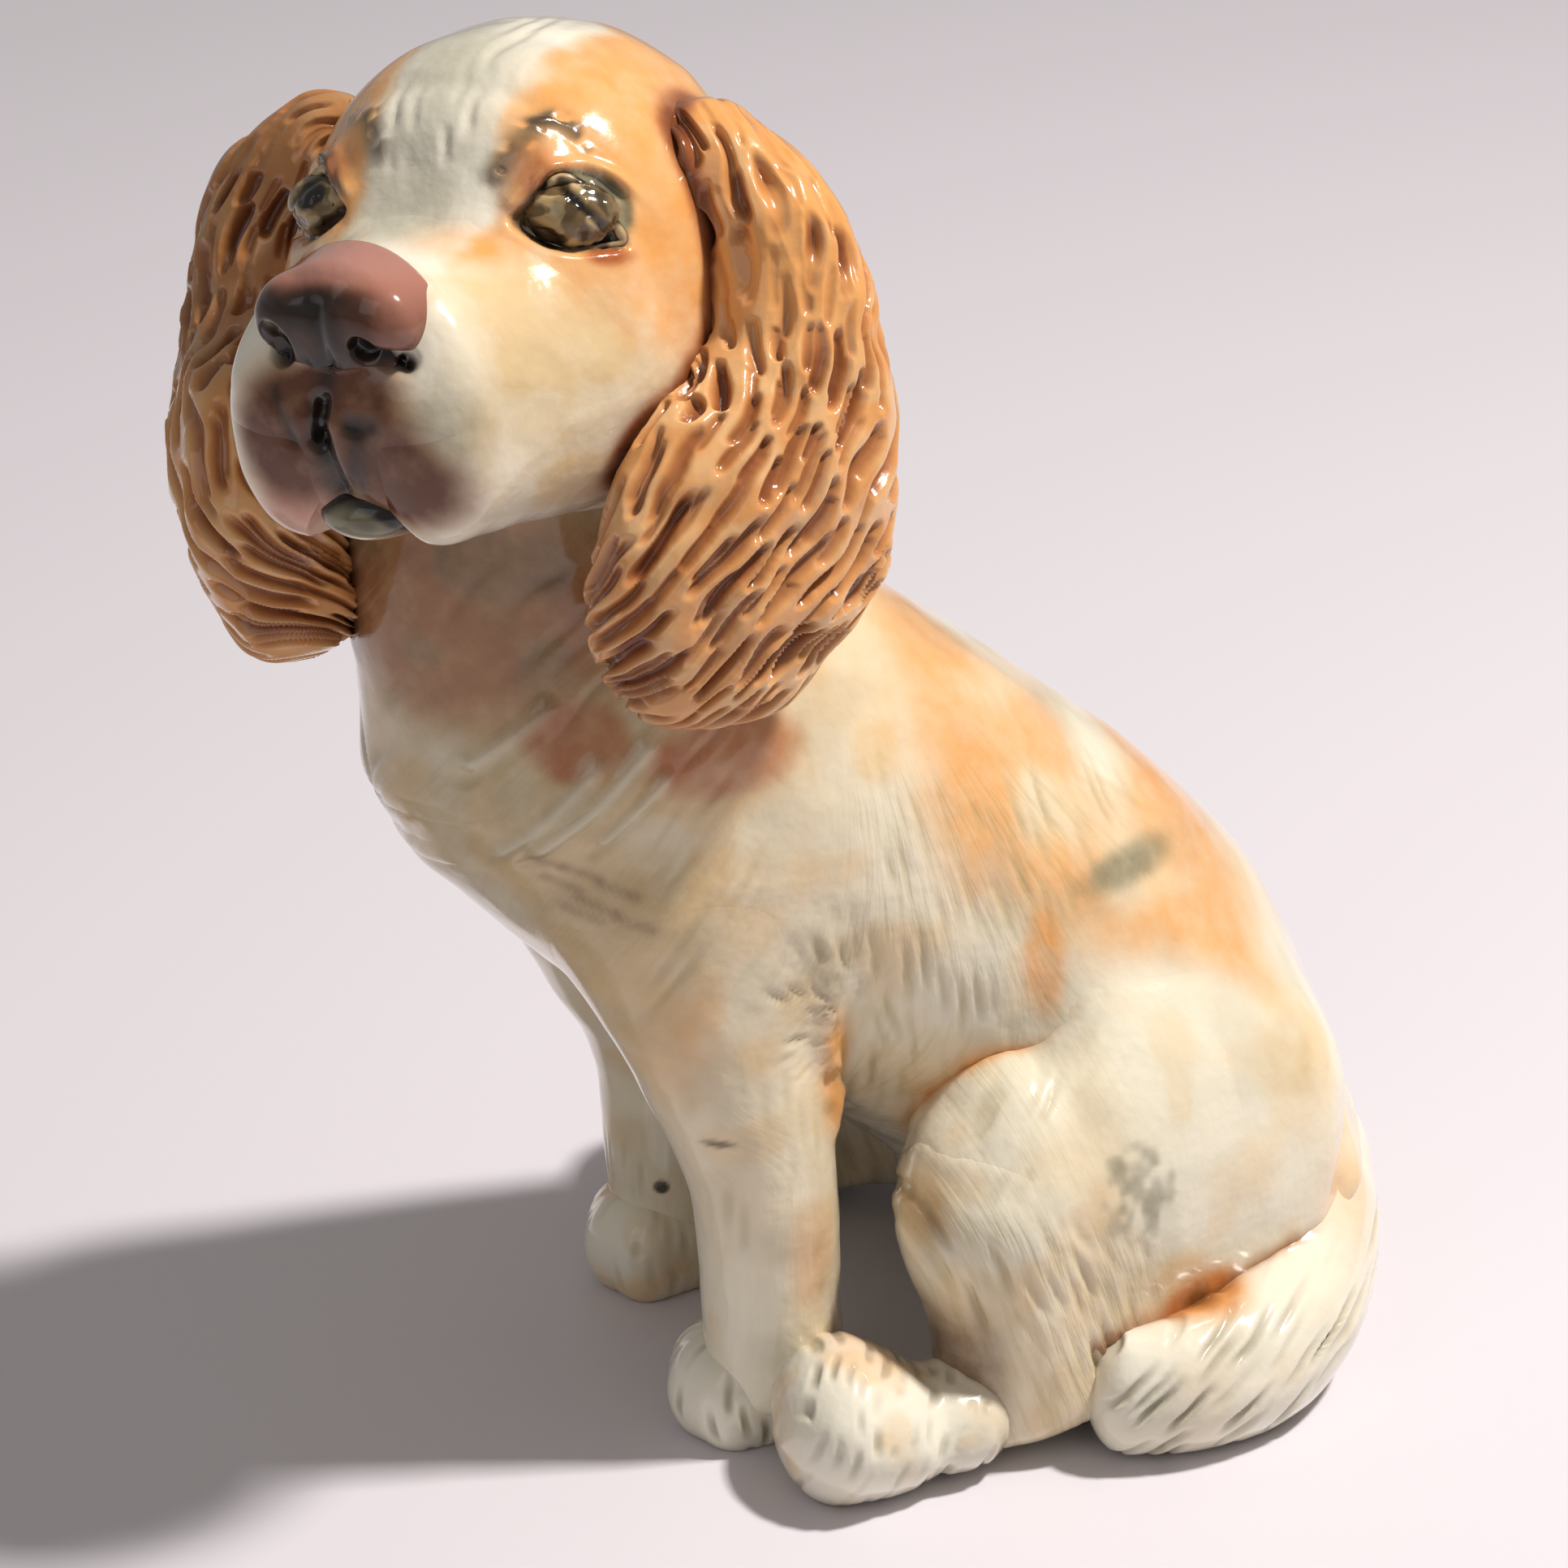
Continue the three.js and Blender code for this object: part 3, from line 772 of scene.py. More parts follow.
# Strokes of the brows on the head: from, to and half width
BROWS = (
    ((9.4, -23.4, 13.8), (11.7, -19.7, 18.2), 1.5),
    ((13.4, -17.6, 19.2), (16.4, -16.1, 16.8), 1.35),
    ((11.8, -19.4, 18.8), (13.4, -18.0, 19.8), 0.8),
    ((-8.8, -20.6, 19.6), (-6.6, -23.0, 16.2), 1.5),
    ((-13.6, -17.4, 18.6), (-10.8, -19.2, 18.8), 1.3),
)

# Dabs: paint, middle, half sizes, amount, softness; those of the face and lips are in the head's own frame
FACE_DABS = (
    ("orange", (6.5, -31, 6.0), (5.5, 4.0, 4.0), 0.5, 0.6),
    ("green", (0, -14, 24), (7, 9, 8), 0.3, 0.8),
    ("green", (-1, -27, 8), (6, 6, 5), 0.35, 0.7),
    ("green", (13.0, -42, -13), (4, 8, 6), 0.3, 0.7),
    # The grey-green and tan dabs on the left side of the muzzle are painted shade.
    ("green", (17, -30, -9), (9, 14, 11), 0.15, 0.7),
    ("tan", (17, -30, -9), (9, 14, 11), 0.7, 0.7),
    ("pink", (-6.0, -42, -24.0), (7.0, 8, 5.0), 0.85, 0.4),
)
LIP_DABS = (
    ("brown", (8.8, -44, -19.8), (5.4, 8, 4.0), 0.95, 0.6),
    ("brown", (5.0, -45, -16.0), (5.4, 7, 6.0), 0.85, 0.5),
    ("brown", (-6.6, -43, -14.0), (6.8, 8, 7.6), 1.0, 0.35),
    ("brown", (1.6, -46, -8.0), (6.0, 6, 3.6), 0.9, 0.5),
)
BODY_DABS = (
    ("orange", (30.5, 21.5, 65.0), (5, 2.8, 7), 0.8, 0.5),
    ("orange", (25.4, -6.0, 54), (5, 2.4, 9), 0.75, 0.6),
    ("orange", (36.0, 66.0, 26), (9, 7, 9), 0.35, 0.7),
    ("orange", (33.0, -10.0, 30), (5, 3.6, 7), 0.5, 0.6),
    ("orange", (29.0, -27.0, 62), (6, 4, 8), 0.3, 0.7),
    ("tan", (19, -44, 92), (9, 9, 8), 0.5, 0.6),
    ("tan", (24, -31, 67), (9, 8, 13), 0.6, 0.6),
    ("tan", (36, 4.0, 36.5), (5, 4.0, 4.5), 0.95, 0.6),
    ("tan", (30, 56, 47), (9, 6, 9), 0.4, 0.6),
    ("tan", (42, 14, 18), (9, 9, 14), 0.45, 0.6),
    ("tan", (27.0, -23.0, 100.0), (9, 14, 6.5), 0.6, 0.5),
    ("brown", (36, 3.5, 35.5), (5, 2.4, 3.0), 0.25, 0.7),
    ("dark", (-13.6, -14.0, 17.0), (4, 0.9, 1.0), 1.0, 0.3),
    ("dark", (29.6, -22.6, 47.6), (4, 1.8, 0.5), 0.5, 0.6),
)
BIB_DABS = (
    ("rust", (23.6, -38.5, 104.0), (9, 6.0, 5.0), 0.85, 0.3),
    ("rust", (27.0, -21.0, 100.6), (9, 9.5, 5.2), 0.85, 0.3),
)

# On the chest, by y and z: where short dark strokes start; raised locks from, to and half width; and how far
# below a lock its shadow is cut
FRINGE = ((-44, 87.4), (-40, 86.3), (-42, 84.4), (-36, 84.3), (-38.5, 82.0), (-40, 80.6), (-34.5, 80.2))
LOCKS = (
    ((-31, 103), (-43, 89), 1.1),
    ((-37, 101), (-47, 88), 1.0),
    ((-29, 99), (-36, 91), 0.8),
    ((-42, 108), (-50, 100), 1.0),
)
UNDER_LOCK = np.array([1.3, 2.8])


def blank(p):
    """No paint on any point of a grid."""
    return {name: np.zeros(p.shape[:-1]) for name in PAINTS}


def dabbed(paint, p, dabs, share=1.0):
    """Add a share of each dab of a table to the paint."""
    for label, at, size, amount, soft in dabs:
        paint[label] += amount * dab(p, at, size, soft) * share


def pooled(paint, label, amount):
    """Raise a paint to an amount wherever it is less."""
    paint[label] = np.maximum(paint[label], amount)


def comb(paint, u, v, amount):
    """Lay the brush along the hair: its lines are those of equal u, its strokes run along v."""
    paint["flow_u"] = 0.5 + u / FLOW_RANGE
    paint["flow_v"] = 0.5 + v / FLOW_RANGE
    paint["fur"] = amount


def brow_strokes(h):
    """Strokes of the brows, broken up by fine noise."""
    total = sum(strand(h, start, stop, width) for start, stop, width in BROWS)
    return total * patchy(h, 1.4, 24, 0.2, 0.45)


def philtrum(h):
    """Places on the lips by x and z: the column under the nose, the slit below it, three shaded strokes."""
    flat = h[..., [0, 2]]
    front = ease(-35, -40, h[..., 1])
    column = strand(flat, (-0.6, -5), (-1.8, -10.5), 1.6)
    slit = strand(flat, (-2.1, -10.0), (-2.8, -14.5), 1.0) + strand(flat, (-2.4, -14.5), (-1.6, -20.6), 1.5)
    beside = 0.6 * strand(flat, (-8.0, -8.8), (-5.8, -14.6), 0.9)
    above = strand(flat, (2.0, -12.4), (4.6, -12.2), 1.3)
    below = 0.65 * strand(flat, (3.2, -13.6), (1.4, -19.6), 1.5)
    return front * column, front * slit, front * (beside + (above + below))


def nostrils(h):
    """The nostrils by x and z: a round hole on the right, a wedge turning outward on the left."""
    flat = h[..., [0, 2]]
    hole = dab(flat, (-7.0, -3.4), (1.9, 2.4), 0.35) + dab(flat, (4.6, -3.6), (1.5, 1.5), 0.35)
    hole += strand(flat, (4.8, -4.0), (9.0, -5.0), 1.0)
    return np.clip(hole, 0, 1) * ease(-41, -44, h[..., 1])


def line_eye(paint, h, sign, ragged):
    """Dark glaze and painted shade in an eye's almond and its corner, a grey-green band over it, and rust
    beside it.
    """
    out, up, along = sight(h, sign)
    flat = np.stack([out, up], axis=-1)
    near = ease(-9, -6, along)
    share = eye_share(out, up) + 0.03 * ragged
    # Dark in the almond, round the ball, is painted shade.
    inside = ease(1.03, 0.95, share) * near
    if sign == SIDES["left"]:
        band = ease(1.07, 0.97, eye_share(out, up, BAND) + 0.03 * ragged) * ease(0.96, 1.04, share)
    else:
        # On the right eye the band over the ball is grey-green glaze and painted shade of its socket.
        band = ease(1.9, 1.65, share) * ease(-0.5, 1.5, up)
    band = band * near
    paint["green"] += 0.9 * band
    paint["dark"] += 0.9 * inside + 0.25 * band * patchy(h, 1.3, 27, 0.6, 0.35)
    # The dark strokes at the inner corner and under the upper lid are painted shade.
    paint["dark"] += strand(flat, (-5.4, -1.4), (-1.2, -4.0), 0.7) * near
    paint["dark"] += 0.9 * strand(flat, (-5.8, -1.1), (-1.9, 3.1), 0.35) * near
    paint["rust"] += 0.8 * dab(flat, (5.0, -5.6), (2.4, 1.1), 0.6) * near
    paint["rust"] += 0.45 * dab(flat, (-3.4, 3.6), (2.6, 3.0), 0.6) * near * (1 - inside)


def head_paint(p):
    """Brush work on the head: orange either side of a white blaze, dark brows and eye rims, brown lips, and
    painted shade on the muzzle's side, round the eyes and in the creases with the ears.
    """
    h = to_head(p)
    x, y, z = axes_of(h)
    paint = blank(p)
    ragged = 2.2 * lumpy(h, 5.0, 1) + 1.2 * lumpy(h, 2.2, 2)
    blaze = 8.6 - 0.12 * np.clip(8.0 - z, 0, 14)
    blaze = np.where(y > 4, blaze - 1.1 * (y - 4), blaze)
    cheek = 2.0 - 0.72 * (y + 21.0)
    beside = ease(-1.4, 2.4, np.abs(x - 0.6) - blaze + ragged)
    paint["orange"] = 0.85 * beside * ease(-9.0, 4.0, z - cheek + 3 * ragged)
    paint["tan"] = 0.45 * patchy(h, 7.0, 3, 0.45, 0.8) * ease(4, 12, np.abs(x))
    paint["tan"] += 0.6 * beside * ease(-24.0, -6.0, z - cheek + 5 * ragged)
    dabbed(paint, h, FACE_DABS)
    dabbed(paint, h, LIP_DABS)
    for _, at, size, _, soft in LIP_DABS:
        paint["rust"] += 0.3 * dab(h, at, 1.15 * np.array(size), soft)
        paint["tan"] += 0.6 * dab(h, at, 1.25 * np.array(size), soft)
    column, slit, shades = philtrum(h)
    paint["brown"] += 0.6 * column
    paint["green"] += 0.6 * column
    paint["dark"] = 0.5 * column + slit + 0.8 * shades + nostrils(h)
    brows = brow_strokes(h)
    for label, amount in (("dark", 0.15), ("brown", 0.35), ("green", 0.7)):
        paint[label] += amount * brows
    for sign in SIDES.values():
        line_eye(paint, h, sign, ragged)
    # Rust glaze pools in the crease with the ears, and the brown deepest in it is painted shade.
    join = crease(p, EARS, 3.0)
    pooled(paint, "rust", 0.95 * join)
    pooled(paint, "brown", 0.7 * join**2)
    return paint


def body_paint(p):
    """Brush work on the body: an apricot saddle, smudges of grey-green, a rusty bib under the ears, and a
    throat darkened partly as painted shade under the chin.
    """
    x, y, z = axes_of(p)
    paint = blank(p)
    ragged = lumpy(p, 9.0, 4) + 0.5 * lumpy(p, 3.5, 5)
    ridge = 119.0 - 0.93 * np.clip(y + 10, 0, 90)
    saddle = ease(28, 18, ridge - z + 12 * ragged + 6 * ease(24, 40, y)) * ease(0, 12, y) * ease(62, 50, y)
    saddle = saddle * ease(33, 27, np.abs(x)) * patchy(p, 12.0, 6, 0.1, 0.5)
    blotch = patchy(p, 6.0, 56, 0.36, 0.62)
    paint["orange"] = 0.72 * saddle
    paint["tan"] = 0.48 * patchy(p, 12.0, 7, 0.45, 0.8) + 0.36 * patchy(p, 6.0, 8, 0.5, 0.75) + 0.35 * saddle
    paint["tan"] += 0.3 * ease(10, -14, y) * ease(20, 40, z)
    paint["green"] = 0.09 * patchy(p, 8.0, 10, 0.5, 0.8) + 0.2 * ease(-14, -38, y) * ease(50, 80, z)
    dabbed(paint, p, BODY_DABS)
    dabbed(paint, p, BIB_DABS, 0.55 + 0.45 * blotch)
    # A tan and orange throat, darkened with grey-green, rust and brown as painted shade under the chin.
    throat_glaze_and_shade = dab(p, (12, -50, 120), (24, 22, 15), 0.35)
    flecks = 0.6 * soft_noise(p, 2.8, 13) + 0.4 * soft_noise(p, 1.3, 31)
    smudge = ease(0.5, 0.95, dab(p, (44.5, 28.5, 38.0), (9, 7.0, 9.0), 0.8) * (0.25 + 1.1 * flecks))
    streak = dab(p, (23.6, 36, 73.6), (9, 8.0, 2.0), 0.6) * patchy(p, 2.6, 54, 0.05, 0.5)
    paint["green"] += 0.5 * smudge + 0.25 * throat_glaze_and_shade
    paint["green"] += 0.6 * streak
    paint["rust"] += 0.27 * throat_glaze_and_shade * blotch
    paint["brown"] += 0.3 * throat_glaze_and_shade * (1 - 0.5 * blotch)
    paint["tan"] += 0.8 * throat_glaze_and_shade
    paint["orange"] += 0.6 * throat_glaze_and_shade
    left = ease(5, 12, x)
    for at, low in FRINGE:
        paint["brown"] += 0.25 * strand(p[..., 1:], (at, low), (at + 3.6, low - 1.2), 0.7) * left
    paint["tan"] += 0.5 * dab(p[..., 1:], (-39, 84.5), (7, 4.5), 0.6) * left
    return paint


def fold_glaze(p, paint, others, width):
    """Orange glaze pooled in the front of the fold between a thigh and the body."""
    pooled(paint, "orange", 0.95 * ease(30, 20, p[..., 1]) * crease(p, others, width))


def tail_glaze(p, paint, other):
    """Orange-brown glaze pooled between the tail and the left thigh, darkest at the tail's tip."""
    line = crease(p, (other,), 1.8) * ease(62, 54, p[..., 1]) * ease(20, 30, p[..., 0])
    pool = dab(p, (42.0, 40.0, 18.0), (6.5, 6.5, 4.2), 0.4)
    spot = dab(p, (43.0, 39.5, 18.0), (3.5, 2.4, 2.2), 0.6)
    pooled(paint, "orange", np.maximum(0.7 * line, pool))
    pooled(paint, "rust", np.maximum(0.3 * line, 0.12 * pool))
    pooled(paint, "brown", np.maximum(0.3 * line, 0.4 * spot))


# Relief: heights worked into the clay


def thumbed(p):
    """Soft lumps that the hand left in the clay, the same for all pieces at a place."""
    return 0.8 * lumpy(p, 15.0, 11) + 0.35 * lumpy(p, 5.0, 12)


def head_relief(p):
    """Heights of the head: sockets round the eyes, the lids' folds, a stop, a lip groove, soft lumps."""
    h = to_head(p)
    x, y, z = axes_of(h)
    height = 0.6 * lumpy(p, 11.0, 13) + 0.3 * lumpy(p, 4.0, 14)
    for sign in SIDES.values():
        out, up, along = sight(h, sign)
        near = ease(-9, -5, along)
        share = eye_share(out, up)
        band = eye_share(out, up, BAND)
        height -= 2.2 * ease(1.25, 0.8, share) * near
        lined = ease(1.1, 0.95, band) * ease(0.95, 1.1, share) * near
        height -= lined * (0.2 + 0.5 * patchy(h, 1.4, 27, 0.4, 0.65))
        height += 0.7 * np.exp(-(((band - 1.16) / 0.12) ** 2)) * near * ease(0, 3, up)
        height += 0.8 * strand(np.stack([out, up], axis=-1), (-6.0, 0.6), (-2.4, 4.6), 1.4) * near
    height += 0.5 * brow_strokes(h)
    height -= 0.8 * np.exp(-((x / 7) ** 2 + ((y + 25) / 6) ** 2)) * ease(0, 8, z)
    crown = ease(10, 6, np.abs(x)) * ease(12, 20, z) * ease(8, -4, y)
    height -= CUT_DEEP["crown"] * crown * hairs("crown", x + 0.2 * z, z, p)
    column, slit, shades = philtrum(h)
    return height - 0.5 * column - 1.5 * slit - 0.35 * shades - 2.2 * nostrils(h)


def body_relief(p, paint):
    """Heights of the fur on the body, its cuts and brush lines being put in the paint.

    Each coat is a place times its hairs: long strands on the chest, fine hair on the flanks and legs;
    those of the elbow run outward from its middle, and a feather of raised locks stands behind it.
    """
    x, y, z = np.abs(p[..., 0]), p[..., 1], p[..., 2]
    chest = ease(-12, -26, y) * ease(60, 74, z)
    flank = ease(8, 20, x) * ease(-10, 0, y) * ease(100, 86, z) * (1 - ease(20, 32, y) * ease(80, 69, z))
    leg = ease(62, 50, z) * ease(4, -1, y)
    girth = 32.0 * np.arctan2(x, -(y + 8.0))
    round_leg = 9.5 * np.arctan2(y + 13.0, x - 22.0)
    far = np.hypot(z - 60, y + 3)
    elbow = dab(p, (28, -9, 67), (9, 8.0, 10), 0.5) * ease(3.0, 6.0, far)
    feather = strand(p, (27.8, -8.5, 73), (25.5, -6.5, 46), 2.4)
    cuts = 0.7 * chest * hairs("chest", girth - 0.6 * z, z, p) * patchy(p, 13.0, 36, 0.42, 0.64)
    cuts += 0.75 * flank * hairs("flank", y + 0.18 * z, z, p) * patchy(p, 13.0, 35, 0.3, 0.5)
    cuts += 0.45 * leg * hairs("leg", round_leg, z, p) * patchy(p, 9.0, 37, 0.5, 0.7)
    cuts += elbow * hairs("elbow", 12.0 * np.arctan2(z - 60, y + 3), far, p)
    cuts = np.clip(cuts + 0.9 * feather * hairs("feather", y, z, p), 0, 1)
    locks = np.zeros(x.shape)
    front = ease(2, 8, p[..., 0])
    for start, stop, width in LOCKS:
        locks += front * strand(p[..., 1:], start, stop, width)
        shadow = strand(p[..., 1:], start - UNDER_LOCK, stop - UNDER_LOCK, 0.8)
        cuts = np.maximum(cuts, 0.5 * front * shadow)
    lean = 0.75 * ease(35, 65, girth) - 0.6
    amount = np.clip(0.65 * flank + 0.3 * chest + 0.18 * leg + 0.6 * elbow, 0, 1)
    comb(paint, girth + lean * (z - 80.0) * ease(40, 60, z), z, amount)
    paint["carve"] = cuts
    paint["tan"] = paint["tan"] * (1 - 0.8 * np.clip(locks, 0, 1))
    paint["rust"] = paint["rust"] * (1 - 0.7 * np.clip(locks, 0, 1))
    paint["orange"] += 0.7 * feather * ease(70, 60, z)
    paint["brown"] += 0.35 * feather * cuts
    feather = feather * (0.5 + 1.6 * soft_noise(p, 2.4, 59))
    return thumbed(p) - CUT_DEEP["body"] * cuts + 0.8 * locks + 1.3 * feather


def hind_relief(p, paint):
    """Heights of the fur on the thighs and hocks: fine hairs up the thigh, deep ones down the shin."""
    x, y, z = axes_of(p)
    slant = 0.94 * y + 0.34 * z
    shin = ease(42, 32, z + 0.35 * (y - 12)) * ease(36, 26, y)
    crest = ease(34, 44, z) * ease(36, 16, y)
    cuts = 0.9 * shin * hairs("shin", slant, z, p) * patchy(p, 9.0, 44, 0.2, 0.4)
    cuts += 0.5 * crest * hairs("crest", 0.69 * y - 0.72 * z, y, p) * patchy(p, 9.0, 47, 0.3, 0.55)
    here = p * np.array([np.sign(x.mean()), 1, 1])
    knee = dab(here, (35.0, 1.5, 45.5), (8, 5, 5), 0.7)
    paint["carve"] = np.clip(cuts, 0, 1)
    paint["brown"] += 0.55 * dab(here, (38.0, 7.0, 15.0), (9, 5, 9), 0.6)
    comb(paint, slant, z, np.clip(0.9 * shin + 0.25 * crest, 0, 1))
    return thumbed(p) - CUT_DEEP["hind"] * cuts + 1.8 * knee


# Pieces: each gives its grid and its paint


def dressed(p, relief):
    """A piece of the body worked with the relief of its coat, and its paint."""
    paint = body_paint(p)
    return raised(p, relief(p, paint)), paint


def make_torso():
    """The body: one surface with the neck, forelegs and tail, run into the thighs, scooped from below."""
    joins = (("haunch_left", fold), ("haunch_right", fold))
    p = modelled("torso", mates_of("torso", BODY) + ("tail",), joins=joins, hips=HIPS)
    worked, paint = dressed(p, body_relief)
    fold_glaze(p, paint, HIPS, 2.2)
    return scooped(worked), paint


def make_neck():
    """The neck: one surface with the body and forelegs, brown painted shade where the ears hang against it."""
    joins = (("cranium", 5.0), ("muzzle", 4.0), ("chin", 3.0), ("ear_left", 2.0), ("ear_right", 2.0))
    p = modelled("neck", mates_of("neck", BODY), joins=joins)
    worked, paint = dressed(p, body_relief)
    # Brown here is painted shade where the ears hang against the neck.
    pooled(paint, "brown", 0.8 * crease(p, EARS, 3.0))
    return worked, paint


def make_foreleg(side):
    """A foreleg: one surface with the body and neck, standing on the floor."""
    name = f"foreleg_{side}"
    worked, paint = dressed(modelled(name, mates_of(name, BODY)), body_relief)
    return standing(worked), paint


def make_forepaw(side):
    """A forepaw: toes pressed into one smooth lump, with a few upright cuts."""
    sign = SIDES[side]
    back = PAW_BACK[side]
    toes = []
    for spread in (-1 / 3, 0, 1 / 3):
        heel = (sign * (21 + 10.8 * spread), -8 + back, 6)
        tip = (sign * (20 + 13.5 * spread), -20 + 6 * abs(spread) + back, 6)
        toes.append(Limb(LEFT, (6, 6), (heel, 4.8, 7.5), (tip, 5.1, 7.5)))
    middle = np.array([sign * 20.5, -15 + back, 5.5])
    p = shell(middle, (0, -1, 0), toes, TOE_MELT, *GRIDS["forepaw"])
    around = np.arctan2(p[..., 0] - middle[0], -(p[..., 1] - middle[1]))
    cuts = hairs("forepaw", 10.0 * around, p[..., 2], p) * patchy(p, 6.0, 51, 0.3, 0.5)
    cuts = cuts * (1.0 if side == "left" else 0.35)
    paint = body_paint(p)
    paint["carve"] = cuts
    return standing(raised(p, -0.35 - CUT_DEEP["forepaw"] * cuts)), paint


def make_haunch(side):
    """A thigh: one surface with its hock, run into the body at the hip."""
    joins = (("torso", fold), ("tail", 2.0))
    p = modelled(f"haunch_{side}", (f"hock_{side}",), joins=joins, hips=("torso",))
    worked, paint = dressed(p, hind_relief)
    fold_glaze(p, paint, ("torso",), 1.6)
    tail_glaze(p, paint, "tail")
    return standing(worked), paint


def make_hock(side):
    """A hock: one surface with its thigh, standing on its foot."""
    p = modelled(f"hock_{side}", (f"haunch_{side}",), joins=((f"hind_foot_{side}", 2.0),))
    worked, paint = dressed(p, hind_relief)
    return standing(worked), paint


def make_hind_foot(side):
    """A foot: a round lump and a small lobe behind it, cut all over with short upright strokes."""
    p = modelled(f"hind_foot_{side}", joins=((f"hock_{side}", 2.0),))
    sign = SIDES[side]
    back = FOOT_BACK[side]
    forth = 0.37 * sign * p[..., 0] + 0.93 * p[..., 1]
    out = 0.93 * sign * p[..., 0] - 0.37 * p[..., 1]
    cuts = 0.8 * hairs("hind_foot", forth - 0.3 * p[..., 2], p[..., 2] - 0.8 * out, p)
    cuts = cuts * patchy(p, 4.0, 61, 0.2, 0.45)
    waist = np.exp(-(((p[..., 1] - 1.5 - back) / 2.4) ** 2))
    paint = body_paint(p)
    paint["carve"] = cuts
    paint["tan"] += 0.4 * patchy(p, 4.0, 55, 0.6, 0.8)
    paint["orange"] += 0.4 * dab(p, (sign * 38.0, back - 6.0, 18.0), (7, 5, 3.5), 0.6)
    lumps = 0.8 * lumpy(p, 7.0, 52)
    return standing(raised(p, lumps - CUT_DEEP["hind_foot"] * cuts - 0.8 * waist)), paint


def make_tail():
    """The tail: a plume whose cuts slant along it, shallow at its root and deep at its tip."""
    p = modelled("tail", ("torso",), joins=(("haunch_left", 2.0),))
    x, y, z = axes_of(p)
    forth = 0.37 * x + 0.93 * y
    tuft = ease(14, 34, x) * ease(22, 17, z)
    cuts = tuft * hairs("tail", 0.77 * z - 0.64 * forth, 0.77 * forth + 0.64 * z, p)
    paint = body_paint(p)
    paint["tan"] *= 0.4
    paint["carve"] = cuts
    tail_glaze(p, paint, "haunch_left")
    return standing(raised(p, thumbed(p) - CUT_DEEP["tail"] * cuts)), paint


def make_cranium():
    """The skull: one surface with the muzzle and lips."""
    joins = (("neck", 4.0), ("ear_left", 2.0), ("ear_right", 2.0))
    p = modelled("cranium", mates_of("cranium", FACE), FACE_MELT, joins)
    return raised(p, head_relief(p)), head_paint(p)


def make_muzzle():
    """The muzzle: one surface with the skull and lips, sunk a little behind the lips."""
    p = modelled("muzzle", mates_of("muzzle", FACE), FACE_MELT, (("nose", 1.5), ("neck", 4.0)))
    x, y, z = axes_of(to_head(p))
    behind = ease(-12, -17, z) * ease(-32, -37, y) * ease(2.5, 6.0, np.abs(x))
    return raised(p, head_relief(p) - 0.8 * behind), head_paint(p)


def lip_edge(x):
    """The edge of the upper lips: an arch over the chin."""
    return -20.6 - 0.1 * (x + 0.4) ** 2


def make_flew(side):
    """A flew: half of the upper lip, its edge lifted in an arch over the chin."""
    p = modelled(f"flew_{side}", ("cranium", "muzzle"), FACE_MELT, (("nose", 1.5),))
    h = to_head(raised(p, head_relief(p)))
    lift = np.maximum(lip_edge(h[..., 0]) - h[..., 2], 0.0) * ease(-31, -35, h[..., 1])
    return from_head(h + lift[..., None] * UP), head_paint(p)


def make_chin():
    """The chin: a grey crescent under the arch of the lips, dark with painted shade where it meets them."""
    p = modelled("chin", joins=(("neck", 3.0),))
    paint = head_paint(p)
    h = to_head(p)
    x, y, z = axes_of(h)
    front = ease(-34, -38, y)
    for label in ("brown", "rust", "pink"):
        paint[label] *= 1 - front
    paint["green"] = front * ease(-26.4, -25.6, z)
    # Dark under the edge of the lips is painted shade.
    paint["dark"] = 0.9 * front * ease(-2.4, -0.9, z - lip_edge(x))
    paint["dark"] += 0.3 * front * patchy(h, 2.5, 58, 0.4, 0.7) * paint["green"]
    return p, paint


def make_nose():
    """The nose pad: a loft with a lobe over each nostril, a groove between, and the nostrils pressed in."""
    p = modelled("nose", joins=(("muzzle", 2.5), ("flew_left", 1.5), ("flew_right", 1.5)))
    h = to_head(p)
    h = h - 0.016 * (h[..., :1] ** 2) * UP
    p = from_head(h)
    x, y, z = axes_of(h)
    lobes = dab(h, (7.2, -46.5, 0.2), (3.8, 5, 3.4), 0.6) + dab(h, (-7.2, -46.5, 0.8), (3.8, 5, 3.4), 0.6)
    hole = nostrils(h)
    shade = ease(4.6, 2.0, z + 0.02 * x * x) * ease(8.0, 4.0, x) * ease(-39, -43.5, y)
    column = strand(h[..., [0, 2]], (-0.6, 1.5), (-0.6, -8.0), 1.1) * ease(-42, -45, y)
    paint = blank(p)
    paint["brown"] = np.clip(0.95 * shade + 0.4 * ease(5.0, -2.0, z), 0, 1)
    paint["rust"] = 0.12 * ease(6.0, 3.5, z)
    paint["dark"] = np.clip(hole + shade * (0.25 + 0.4 * ease(4.5, 1.0, x)) + 0.35 * column, 0, 1)
    return raised(p, 0.9 * lobes - 0.6 * column - 1.9 * hole), paint


